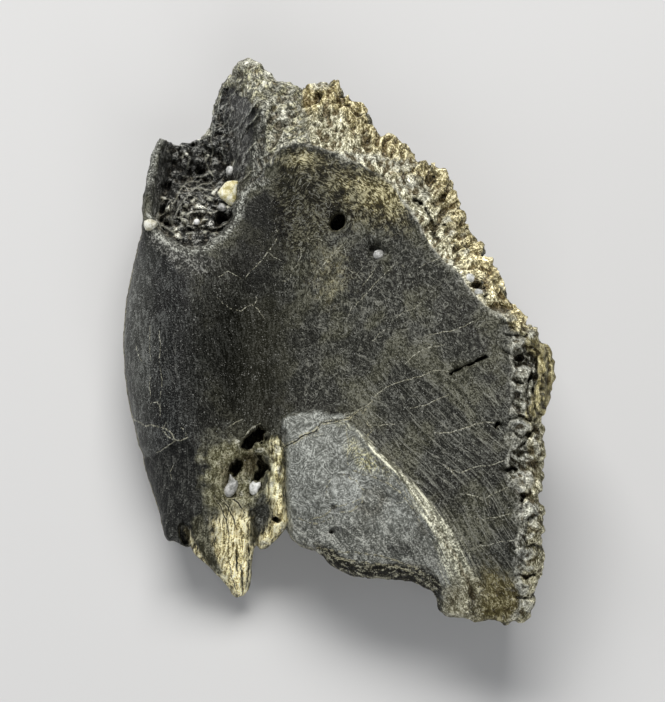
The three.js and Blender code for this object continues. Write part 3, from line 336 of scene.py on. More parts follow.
LINES = [
 ([[352,310],[359,301],[366,294],[373,286],[381,278],[389,270],[396,263]], 0.05, 1),
 ([[363,285],[368,279],[372,274],[375,268]], 0.06, 1),
 ([[316,273],[323,265],[330,257],[338,249],[347,240]], 0.045, 1),
 ([[316,273],[318,283],[317,292],[321,301]], 0.045, 1),
 ([[302,233],[310,240],[318,238],[327,243]], 0.04, 1),
 ([[398,262],[405,268],[411,277],[414,286]], 0.04, 1),
 ([[424.5,337],[430,335],[437,333.5],[444,332],[451,331],[460,328],[468,324],[475,321]], 0.055, 1),
 ([[405,364],[411,358],[418,352],[425,349],[432,347],[438,346],[444,345]], 0.05, 1),
 ([[345,415],[352,413],[360,409],[366,407],[370,403],[377,394],[385,388],[395,383],[405,380],[414,378],[423,376],[430,372],[439,370],[450,372]], 0.06, 1),
 ([[370,425],[380,425.5],[390,424],[399,425]], 0.05, 1),
 ([[410,408],[418,407],[424,406],[432,402],[440,398],[448,395],[456,392]], 0.05, 1),
 ([[436,433],[446,433],[456,431],[465,428],[475,424],[485,422],[494,423]], 0.06, 1),
 ([[245,278],[250,271],[256,266],[262,260],[268,252],[274,244],[278,236],[276,228]], 0.07, 1),
 ([[268,252],[274,257],[280,260]], 0.04, 1),
 ([[280,281],[286,281],[290,277],[292,270],[298,264],[301,256],[301,244]], 0.05, 1),
 ([[290,276],[294,279]], 0.04, 1),
 ([[218,277],[228,271],[240,278]], 0.04, 1),
 ([[218,298],[223,303],[229,308],[234,310],[241,311],[246,307],[252,305],[258,309],[262,315],[264,318]], 0.05, 1),
 ([[254,292],[257,299],[254,306]], 0.04, 1),
 ([[340,262],[348,270],[356,275],[362,268]], 0.03, 1),
 ([[318,262],[330,256],[344,250],[352,246]], 0.03, 1),
 ([[372,266],[371,275],[366,281]], 0.05, 1),
 ([[382,336],[374,340],[378,335],[386,329]], 0.05, 1),
 ([[352,305],[349,315],[345,325]], 0.04, 1),
 ([[420,267],[430,262],[440,258],[450,262]], 0.05, 1),
 ([[396,318],[404,312],[414,309],[420,303]], 0.035, 1),
 ([[460,494],[470,495],[478,497],[486,503],[492,508]], 0.06, 1),
 ([[444,465],[450,470],[455,476],[459,480]], 0.10, 1),
 ([[469,551],[477,549],[480,546],[484,550]], 0.05, 1),
 ([[446,468],[453,471],[461,473],[468,470],[475,467],[484,466],[492,465],[503,461]], 0.06, 1),
 ([[475,497],[486,498.5],[495,493],[504,488.6],[512,486]], 0.055, 1),
 ([[466,514],[474,518],[481,520],[490,518],[498,517],[506,515],[514,513]], 0.05, 1),
 ([[472,548.6],[480,547],[487,545.5],[494,543],[501,541.5],[508,541],[514,540]], 0.05, 1),
 ([[398,503],[406,501],[414,503],[424,506]], 0.04, 1),
 ([[128,415],[134,420],[140,423],[146,426],[151,425],[157,427],[164,428],[169,431],[173,436],[174,440],[180,441],[186,438],[185,432],[180,426]], 0.09, 1),
 ([[165,424],[163,430],[168,436],[174,441]], 0.10, 1),
 ([[174,441],[166,447],[158,452]], 0.07, 1),
 ([[165,430],[163,428],[158,426]], 0.05, 1),
 ([[283,448],[290,444],[296,441.5],[301,437],[305,434.5],[311,433],[316,431.5],[319,427],[321,424],[328,422],[336,421]], 0.095, 2),
 ([[336,421],[341,420],[348,418],[352,414.5],[356,412]], 0.07, 2),
 ([[356,412],[362,410],[368,407],[372,402]], 0.045, 2),
 ([[300,441],[305,437],[312,436],[318,436]], 0.035, 1),
 ([[318,428],[323,422],[331,420],[338,420]], 0.06, 1),
 ([[322,434],[317,436],[311,434]], 0.07, 1),
 ([[365,410],[362,414],[366,420],[372,430],[366,438]], 0.045, 2),
 ([[312,519],[322,517],[330,510],[336,506]], 0.035, 2),
 ([[340,506],[352,503],[362,498]], 0.03, 2),
 ([[296,517],[308,523],[320,524],[334,516]], 0.03, 2),
 ([[173,466],[170,472],[172,480]], 0.05, 1),
 ([[150,375],[149,385],[151,398]], 0.04, 1),
 ([[159,330],[160,345],[159,362],[162,380],[160,396],[160,415]], 0.035, 1),
 ([[150,326],[149,345],[151,362]], 0.035, 1),
 ([[152,403],[157,402],[160,408]], 0.06, 1),
 ([[136,344],[137,352],[141,360]], 0.05, 1),
 ([[244.6,436.5],[249,431],[254,426.5],[259,424]], 0.13, 1),
 ([[230,426],[236,422],[241,420]], 0.07, 1),
 ([[228,440],[236,440],[239,447]], 0.12, 1),
 ([[222,500],[228,507],[233,517],[236,528]], 0.09, 2),
 ([[230,497],[238,503],[244,512]], 0.11, 2),
 ([[214,497],[220,506],[226,520],[229,535]], 0.07, 2),
 ([[236,552],[236.5,560],[237,570]], 0.13, 2),
 ([[241,566],[242,578],[242,590]], 0.09, 2),
 ([[248,545],[249,560],[248,575],[246,588]], 0.09, 2),
 ([[229,560],[231,575],[236,590]], 0.05, 2),
 ([[372,452],[382,462],[392,474],[402,488],[412,503],[420,516]], 0.05, 1),
 ([[425,505],[430,515],[434,527],[438,538],[443,548],[449,560],[452,572],[455,582]], 0.15, 1),
 ([[393,462],[400,471],[410,483],[420,496],[428,508],[434,520],[441,533],[449,547]], 0.16, 1),
 ([[396,467],[406,481],[416,495],[424,509],[430,522]], 0.09, 1),
 ([[289,533],[296,543],[307,549.5],[318,553]], 0.09, 1),
 ([[322,561],[331,569],[345,575.5],[365,579],[385,581],[405,582.5],[420,586]], 0.10, 1),
 ([[352,470],[362,474],[376,478],[390,485],[402,495],[412,508],[420,522]], 0.04, 2),
 ([[346,430],[348.5,445],[347,458],[349,468]], 0.028, 2),
 ([[281,440],[285,452],[285,470],[284,486],[286,500]], 0.05, 2),
 ([[330,480],[326,488],[325,497]], 0.03, 2),
 ([[345,475],[356,481],[363,490],[362,502],[352,511],[340,512]], 0.03, 2),
 ([[325,555],[345,560],[368,563],[392,566],[412,573]], 0.05, 2),
 ([[318,548],[340,552],[362,553],[384,557],[406,564],[424,574]], 0.04, 2),
]

# the spongy bone's thin walls catch the light along their edges
LINES += [(pts, 0.07, 1) for pts, w, h in STRUTS[::2]] + [(pts, 0.10, 1) for pts, w, h in LAMINAE]

# pits: a, b, rx, ry, turn, depth, softness
PITS = [
 (518,357.5,6,4.6,0.3,2.0,0.5),(511.5,469,6.0,2.8,-0.05,1.8,0.5),(522,499,3.6,5.4,0.2,1.4,0.6),(513,329,5,3.4,-0.4,1.2,0.6),(523,444,3.6,7,0.5,1.2,0.6),(514,548,3,3,0,0.9,0.6),(516,534,4,3,0.4,0.7,0.7),(520,383,6,2.6,0.2,0.9,0.6),
 (338,222,8.2,11.6,0.52,4.6,0.30),(336,222,13,16,0.52,0.35,0.9),(346,210,5,4,0.3,0.35,0.9),
 (376.5,252.5,10.5,9,-0.3,1.25,0.55),(370,247,9,6,-0.7,0.7,0.8),
 (498,424,4.6,3.8,0.3,2.6,0.4),(496,428,2.4,3,0.2,2.0,0.5),
 (276.5,519.5,4.6,4.2,0.6,2.6,0.4),(184,534,6.5,14,-0.25,2.4,0.5),
 (333,507,4,3,0.4,0.5,0.7),(331,532,3,2.6,0,0.9,0.5),(372,441,2.6,2,0,0.3,0.6),
 (376,456,1.6,1.4,0,0.4,0.6),(366,460,1.8,1.5,0,0.35,0.6),(381,447,1.5,1.5,0,0.3,0.6),(480,543,2.6,1.8,0.3,0.8,0.5),
 (320,548,4.5,3,0.5,0.7,0.6),(312,550,3,3,0,0.6,0.6),
 (476,285,4,2.4,-0.4,0.6,0.7),(484,297,3,4,0,0.7,0.7),(463,270,4,3,0.4,0.4,0.7),(434,236,4,6,0.3,0.5,0.7),(428,217,4,5,0.4,0.4,0.7),(416,201,5,3,0.1,0.3,0.7),(440,215,4,6,0,0.4,0.7),
 (445,226,4,3,0,0.7,0.6),(455,243,5,3,0.2,0.6,0.7),(431,204,4,4,0,0.25,0.7),
 (213,92,5,8,0,0.8,0.8),(229,88,6,5,0.4,0.7,0.7),(236,76,7,5,0.3,0.6,0.8),(248,84,5,3,0,0.4,0.8),
 (193,145,3,2.6,0,1.0,0.6),
 (237,556,2.2,6,0.05,0.7,0.7),(236,568,1.6,5,0,0.6,0.7),(241,583,1.8,4,0,0.6,0.7),(226,562,1.8,5,-0.3,0.4,0.8),(244,560,1.6,7,0.1,0.6,0.7),(233,545,2.2,4,0,0.4,0.8),(249,549,3,5,0,0.9,0.7),
 (246,596,1.6,6,0,0.8,0.7),
]
# bosses: a, b, rx, ry, turn, height
BOSSES = [
 (446,222,6,5,0,0.6),(452,234,5,4,0,0.5),(464,246,5,4,0,0.5),(450,262,5,5,0,0.5),(428,168,7,5,0,0.4),(405,170,6,5,0,0.3),(322,88,13,9,0.2,0.7),(290,92,9,7,0,0.4),(346,99,9,8,0.4,0.5),(366,116,8,8,0.6,0.5),
 (382,137,8,7,0.3,0.5),(401,149,10,6,0.3,0.5),(437,176,9,8,0.5,0.6),(450,196,7,9,0.2,0.5),(460,218,6,8,0.3,0.5),(472,240,7,6,0.6,0.5),(488,262,7,7,0.6,0.5),(503,288,7,6,0.6,0.4),(413,181,9,10,0.5,0.4),(398,160,9,6,0.3,0.3),
 (340,118,8,12,0.5,0.4),(318,112,8,12,0.1,0.4),(362,138,7,9,0.6,0.35),(300,118,7,12,-0.1,0.35),(282,112,8,14,-0.2,0.35),
]


def ragged_at(A, B):
    """Stations pushed about a little, so that round shapes drawn at them come out broken."""
    return (A + 3.4 * noise(A / 8, B / 8, 9.1, 81) + 1.6 * noise(A / 3.6, B / 3.6, 2.1, 83),
            B + 3.4 * noise(A / 8, B / 8, 4.4, 82) + 1.6 * noise(A / 3.6, B / 3.6, 6.6, 84))


def top_height(A, B):
    z = face_height(A, B)
    d, _, run, _, _ = line_dist(SUTURE_EDGE, A, B)
    out = poly_dist(FACE_AREA, A, B) < 0
    d = np.where(out, d, 0.0)
    fall = 0.55 + 0.30 * smooth((B - 150) / 40) + 0.30 * smooth((B - 285) / 40)
    z = z - fall * d * UNIT
    right = smooth((B - 300) / 20)
    # scalloped sockets down the right edge, rougher crumbled slope above
    z = z - right * out * smooth(d / 5) * (0.35 + 0.30 * noise(A / 10, B / 7, 1.0, 3))
    z = z + out * (1 - right) * smooth(d / 7) * (0.60 * noise(A / 13, B / 13, 3.3, 5) + 0.42 * noise(A / 6.0, B / 6.0, 1.7, 6))
    # a low rounded lip runs along the pad's upper edge
    lip = np.exp(-((np.where(out, d, -line_dist(SUTURE_EDGE[8:34], A, B)[0]) + 2.0) / 4.5) ** 2)
    z = z + 0.22 * lip * smooth((262 - B) / 30) * smooth((A - 264) / 8)
    # outer ridged layer on the bulge of the right edge
    rim = poly_dist(OUTLINE, A, B)
    bulge = right * out * np.exp(-((rim - 9) / 7.0) ** 2) * smooth((B - 335) / 20) * (1 - smooth((B - 405) / 20))
    z = z + 1.5 * bulge
    z = z + 0.35 * right * out * np.sin(rim * 0.95 + 0.02 * B) * smooth((d - 12) / 6) * smooth((B - 335) / 20) * (1 - smooth((B - 415) / 15))
    # lobe, ridge beside it, crevice at its left
    dl = poly_dist(LOBE, A, B) + 1.5 * noise(A / 7, B / 7, 0.5, 8)
    rise = np.where(A < 300, 4.0, 8.0)
    z = z + 0.9 * smooth(dl / rise + 0.5) * np.where(B > 470, 1.0, 0.4 + 0.6 * smooth((B - 400) / 40))
    rd, _, _, rs, rt = line_dist(RIDGE, A, B)
    R = np.array(RIDGE)
    amp = R[rs, 2] * (1 - rt) + R[rs + 1, 2] * rt
    wid = R[rs, 3] * (1 - rt) + R[rs + 1, 3] * rt
    z = z + 1.0 * amp * np.exp(-((rd / wid) ** 2))
    z = z - 1.5 * np.exp(-((line_dist([[284, 432], [285, 450], [284, 470], [285, 490], [286, 505], [288, 532]], A, B)[0] / 3.0) ** 2))
    z = z + 0.12 * smooth(poly_dist([[330,478],[345,474],[358,479],[364,490],[363,503],[352,511],[338,508],[331,496]], A, B) / 5)
    # low swells of the lobe and dish of its lower lip
    z = z - 0.5 * bump(A, B, 372, 505, 30, 40, 0.5, 0.9)
    z = z + 0.35 * bump(A, B, 315, 470, 26, 45, 0.1, 0.9)
    # layered edge of the lobe's lower lip
    lowlip = smooth((B - 538) / 18) * smooth((A - 284) / 10) * smooth((448 - A) / 16)
    z = z - 0.16 * lowlip * smooth((17 - rim) / 6) * (0.5 + 0.5 * np.sin(rim * 1.35 + 0.035 * A + 1.2 * noise(A / 22, B / 12, 5.0, 15)))
    z = z - 0.30 * smooth((4.0 - np.abs(rim - 9.5 - 0.10 * (A - 340))) / 4.0) * smooth((A - 352) / 30) * smooth((440 - A) / 14) * smooth((B - 545) / 10)
    # flake lost from the flank
    sp = poly_dist(SPALL, A, B) + 1.2 * noise(A / 5, B / 5, 2.5, 9)
    z = z - 0.65 * smooth(sp / 3.5)
    # fang rounds off across its width, its dark band lies lower
    z = z + 0.9 * smooth(poly_dist(FANG, A, B) / 12)
    z = z - 0.5 * smooth(poly_dist(FANG_BAND, A, B) / 6)
    z = z + 0.6 * smooth(poly_dist(SLOT_CREAM, A, B) / 7)
    z = z - 1.3 * np.exp(-((line_dist([[252, 512], [253, 525], [254, 540], [256, 550]], A, B)[0] / 2.6) ** 2))
    z = z - 0.9 * smooth(poly_dist(SLATE, A, B) / 6 + 0.3)
    # slot above the fang, with its bony bars
    for poly, depth in ((SLOT_A, 5.0), (SLOT_B, 4.0), (SLOT_C, 3.4)):
        z = z - depth * smooth((poly_dist(poly, A, B) + 4.2 * noise(A / 7, B / 7, 4.0, 11) + 2.4 * noise(A / 3, B / 3, 4.0, 19)) / 2.4)
    z = z - 1.0 * smooth(poly_dist([[226,470],[240,452],[262,450],[270,462],[266,492],[248,500],[224,500],[219,486]], A, B) / 6)
    z = z + 0.8 * bump(A, B, 249, 468, 3.4, 13, 0.12, 0.7) + 0.9 * bump(A, B, 261, 451, 6, 4, 0.2, 0.7) + 0.6 * bump(A, B, 240, 446, 5, 4, 0.2, 0.7)
    z = z + 0.5 * bump(A, B, 258, 449, 8, 3, 0.5, 0.7) + 0.5 * bump(A, B, 243, 494, 4, 5, 0, 0.7)
    # shallow valley between flank and plate
    z = z - 0.5 * bump(A, B, 252, 345, 30, 110, 0.0, 1.0)
    # thin laminae on the wall of the peak, wrinkles on its crest
    for pts, w, h in LAMINAE:
        z = z + 0.8 * h * np.exp(-((line_dist(pts, A, B)[0] / (0.75 * w)) ** 2)) * np.clip(0.9 + 0.8 * noise(A / 6, B / 6, 8.0, 86), 0.2, 1.4)
    # broken hollow with its floor, struts and crumbs
    t = hollow_depth(A, B)
    floor = 8.6 + 4.6 * smooth((B - 178) / 26) * smooth((A - 158) / 16) + 1.6 * smooth((176 - B) / 40)
    floor = floor + 0.45 * noise(A / 11, B / 11, 7.0, 12) + 0.55 * noise(A / 5, B / 5, 7.0, 13) + 0.22 * noise(A / 2.6, B / 2.6, 7.0, 14)
    floor = floor + 1.6 * smooth((B - 222) / 20) * smooth((235 - A) / 40)
    floor = floor - 2.6 * bump(A, B, 221, 219, 10, 8, -0.5, 0.8) - 1.8 * bump(A, B, 168, 224, 6, 4.5, 0.2, 0.8) - 2.0 * bump(A, B, 163, 189, 12, 12, 0.0, 0.9)
    floor = floor - 1.6 * bump(A, B, 200, 172, 6, 6, 0.0, 0.7) - 1.0 * bump(A, B, 176, 205, 4, 8, 0.4, 0.8) - 1.2 * bump(A, B, 216, 203, 4, 4, 0.0, 0.8)
    rings = np.hypot((A - 208) / 1.15, B - 178)
    floor = floor + 0.22 * np.sin(rings * 1.25) * smooth((14 - rings) / 6)
    low = np.minimum(floor, z)
    z = z + (low - z) * smooth(t)
    st = np.zeros(A.shape)
    for pts, w, h in STRUTS:
        st = np.maximum(st, 0.75 * h * smooth(1.7 - line_dist(pts, A, B)[0] / (0.72 * w)))
    st = st * np.clip(0.75 + 1.1 * noise(A / 4.5, B / 4.5, 3.0, 85), 0, 1.3)
    z = z + st * smooth(t * 1.4)
    for a, b, rx, ry, turn, h, _ in CRUMBS:
        z = z + 1.05 * h * chip(A, B, a, b, rx, ry, turn, 0.42) * smooth(t * 3 + 0.2)
    for a, b, rx, ry, turn, depth, soft in PITS:
        z = z - depth * bump(A, B, a, b, rx, ry, turn, soft)
    for a, b, rx, ry, turn, h in BOSSES:
        z = z + h * bump(A, B, a, b, rx, ry, turn, 0.75)
    Aw, Bw = ragged_at(A, B)
    for a, b, rx, ry, turn, h, _ in PEGS:
        # a fan of fine ribs spreads over each peg from its inner end
        fan = np.arctan2(Bw - b, Aw - (a - rx * 1.4))
        z = z + bump(Aw, Bw, a, b, rx, ry, turn, 0.45) * (0.62 * h * (0.75 + 0.05 * (A - a)) + 0.11 * np.sin(fan * 26 + a))
    for pts in GROOVES:
        z = z - 0.65 * np.exp(-((line_dist(pts, Aw, Bw)[0] / 1.5) ** 2))
    sd = line_dist([[451, 373], [460, 368.5], [468, 365], [478, 361], [486, 357]], A, B)[0]
    z = z - 3.2 * smooth((2.5 - sd) / 1.6)
    # crack across the lobe and chipped crack of the flank
    for pts, w, k in LINES:
        if k == 2 and w > 0.05:
            z = z - 0.28 * np.exp(-((line_dist(pts, A, B)[0] / 1.7) ** 2))
    return z


def chip(A, B, a, b, rx, ry, turn, soft):
    """Like bump, but five-sided and tilted, for a broken crumb."""
    c, s = math.cos(turn), math.sin(turn)
    u, v = ((A - a) * c + (B - b) * s) / rx, ((B - b) * c - (A - a) * s) / ry
    r = np.full(np.shape(A), -9.0)
    for i in range(5):
        t = a * 1.7 + b * 0.9 + 1.2566 * i + 0.45 * math.sin(3.1 * a + 2.3 * i + b)
        r = np.maximum(r, (u * math.cos(t) + v * math.sin(t)) / (0.80 + 0.22 * math.sin(1.9 * b + 2.9 * i + a)))
    return smooth((1 - r) / soft) * np.clip(0.85 + 0.45 * (u * math.cos(a) + v * math.sin(a)), 0.2, 1.5)


# -------------------------------------------------------------------- field
U0, U1, V0, V1, W0, W1 = -28.6, 29.4, -36.6, 38.4, -21.0, 26.5
us = np.arange(U0, U1, PITCH)
vs = np.arange(V0, V1, PITCH)
ws = np.arange(W0, W1, PITCH)
UU, VV = np.meshgrid(us, vs, indexing="ij")
AA, BB = DATUM[0] + UU / UNIT, DATUM[1] - VV / UNIT
# the traced outline is roughened a little so that broken edges look broken
rimd = poly_dist(OUTLINE, AA, BB) * UNIT
crumb = smooth((AA - 245) / 20) * smooth((330 - BB) / 30) + smooth((AA - 500) / 20)
rimd = rimd + np.clip(crumb, 0, 1) * (0.16 * noise(AA / 6, BB / 6, 0.3, 21) + 0.08 * noise(AA / 3, BB / 3, 0.3, 22))
ZT = top_height(AA, BB)
flank = smooth((235 - AA) / 40) * smooth((BB - 218) / 55) * (1 - smooth((BB - 470) / 90))
lowlip = smooth((BB - 535) / 20) * smooth((AA - 284) / 10) * smooth((452 - AA) / 16)
RR = 0.55 + (8.2 - 0.55) * flank + 1.3 * lowlip
ee = np.clip(1 - rimd / RR, 0, 1)
TOP = depth_at(UU, VV, ZT) - RR * 0.98 * (1 - np.sqrt(np.maximum(0, 1 - ee * ee)))
gu, gv = np.gradient(TOP, PITCH)
SLOPE = np.sqrt(1 + np.clip(gu ** 2 + gv ** 2, 0, 12.0))

nu, nv, nw = len(us), len(vs), len(ws)
field = np.empty((nu, nv, nw), np.float32)
ROOF = ZT
for k0 in range(0, nw, 16):
    w = ws[None, None, k0:k0 + 16]
    kk = 1 - w / TAPER
    X = ORIGIN[0] + UU[..., None] * kk
    Y = ORIGIN[1] + VV[..., None] * kk * SE - w * CE
    Z = ORIGIN[2] + VV[..., None] * kk * CE + w * SE
    below = np.maximum(0, TOP[..., None] - w)
    cut = 0.22 * np.maximum(0, below - 1.2) * (1 - 0.6 * flank[..., None])
    f = smin((TOP[..., None] - w) / SLOPE[..., None], rimd[..., None] - cut, 0.35)
    # the underside's spline only matters where the point is near it
    near = f > -1.0
    uh = np.zeros(f.shape)
    uh[near] = under_height(X[near], Y[near])
    f = np.where(near, smin(f, (Z - uh) * 0.9, 1.4), f)
    arch = np.minimum(poly_dist(ARCH, X[near], Y[near]),
                      np.broadcast_to(ROOF[..., None], f.shape)[near] - 1.35 - 0.1 * np.maximum(0, Y[near] + 40) - Z[near])
    f[near] = smin(f[near], -arch, 0.5)
    field[..., k0:k0 + 16] = f
field[0] = field[-1] = -1
field[:, 0] = field[:, -1] = -1
field[:, :, 0] = field[:, :, -1] = -1
del X, Y, Z, f, near, uh, below, cut


def surface_nets(f):
    """Quads of the zero surface; inside is positive."""
    inside = f > 0
    c = inside[:-1, :-1, :-1].astype(np.int8)
    for di, dj, dk in ((1,0,0),(0,1,0),(0,0,1),(1,1,0),(1,0,1),(0,1,1),(1,1,1)):
        c = c + inside[di:f.shape[0]-1+di, dj:f.shape[1]-1+dj, dk:f.shape[2]-1+dk]
    I, J, K = np.nonzero((c > 0) & (c < 8))
    index = np.full(c.shape, -1, np.int32)
    index[I, J, K] = np.arange(len(I))
    pos = np.zeros((len(I), 3))
    cnt = np.zeros(len(I))
    for ax in range(3):
        o1, o2 = [a for a in range(3) if a != ax]
        for p in (0, 1):
            for q in (0, 1):
                off = [0, 0, 0]
                off[o1], off[o2] = p, q
                a = f[I + off[0], J + off[1], K + off[2]]
                off2 = list(off)
                off2[ax] = 1
                b = f[I + off2[0], J + off2[1], K + off2[2]]
                m = (a > 0) != (b > 0)
                t = np.where(m, a / np.where(m, a - b, 1), 0)
                for d in range(3):
                    pos[:, d] += m * (off[d] if d != ax else t)
                cnt += m
    pos = pos / cnt[:, None] + np.stack([I, J, K], -1)
    quads = []
    for ax in range(3):
        o1, o2 = (ax + 1) % 3, (ax + 2) % 3
        lo = [slice(1, -1)] * 3
        lo[ax] = slice(0, -1)
        hi = [slice(1, -1)] * 3
        hi[ax] = slice(1, None)
        a, b = inside[tuple(lo)], inside[tuple(hi)]
        for flip in (False, True):
            m = (a & ~b) if not flip else (~a & b)
            ijk = np.stack(np.nonzero(m), -1)
            ijk = ijk + np.array([0 if d == ax else 1 for d in range(3)])
            corners = []
            for p, q in ((-1, -1), (0, -1), (0, 0), (-1, 0)):
                g = ijk.copy()
                g[:, o1] += p
                g[:, o2] += q
                corners.append(index[g[:, 0], g[:, 1], g[:, 2]])
            Q = np.stack(corners, -1)
            quads.append(Q[:, ::-1] if flip else Q)
    return pos, np.concatenate(quads)


pos, quads = surface_nets(field)
del field
L = np.stack([U0 + pos[:, 0] * PITCH, V0 + pos[:, 1] * PITCH, W0 + pos[:, 2] * PITCH], -1)

# keep the biggest connected surface only
e0 = np.concatenate([quads[:, 0], quads[:, 1], quads[:, 2], quads[:, 3]])
e1 = np.concatenate([quads[:, 1], quads[:, 2], quads[:, 3], quads[:, 0]])
label = np.arange(len(L))
while True:
    low = np.minimum(label[e0], label[e1])
    new = label.copy()
    np.minimum.at(new, e0, low)
    np.minimum.at(new, e1, low)
    new = new[new]
    new = new[new]
    if np.array_equal(new, label):
        break
    label = new
main = np.bincount(label).argmax()
keep = label == main
remap = np.cumsum(keep) - 1
quads = remap[quads[keep[quads[:, 0]]]]
L = L[keep]


def neighbours(quads, n):
    a = np.concatenate([quads[:, 0], quads[:, 1], quads[:, 2], quads[:, 3]])
    b = np.concatenate([quads[:, 1], quads[:, 2], quads[:, 3], quads[:, 0]])
    a, b = np.concatenate([a, b]), np.concatenate([b, a])
    return a, b, np.maximum(np.bincount(a, minlength=n), 1)


def relax(P, nb, k):
    a, b, c = nb
    m = np.stack([np.bincount(a, P[b, d], len(P)) for d in range(3)], -1) / c[:, None]
    return P + k * (m - P)


def vertex_normals(P, quads):
    n = np.cross(P[quads[:, 2]] - P[quads[:, 0]], P[quads[:, 3]] - P[quads[:, 1]])
    N = np.stack([sum(np.bincount(quads[:, c], n[:, d], len(P)) for c in range(4)) for d in range(3)], -1)
    return N / np.maximum(np.linalg.norm(N, axis=1, keepdims=True), 1e-12)


nb = neighbours(quads, len(L))
for _ in range(2):
    L = relax(L, nb, 0.5)
    L = relax(L, nb, -0.52)
NORMAL = vertex_normals(L, quads)


# ------------------------------------------------------------ zones of the bone
def interp2(M, u, v):
    x = np.clip((u - U0) / PITCH, 0, M.shape[0] - 1.001)
    y = np.clip((v - V0) / PITCH, 0, M.shape[1] - 1.001)
    i, j = x.astype(int), y.astype(int)
    f, g = x - i, y - j
    return (M[i, j] * (1 - f) * (1 - g) + M[i + 1, j] * f * (1 - g) + M[i, j + 1] * (1 - f) * g + M[i + 1, j + 1] * f * g)


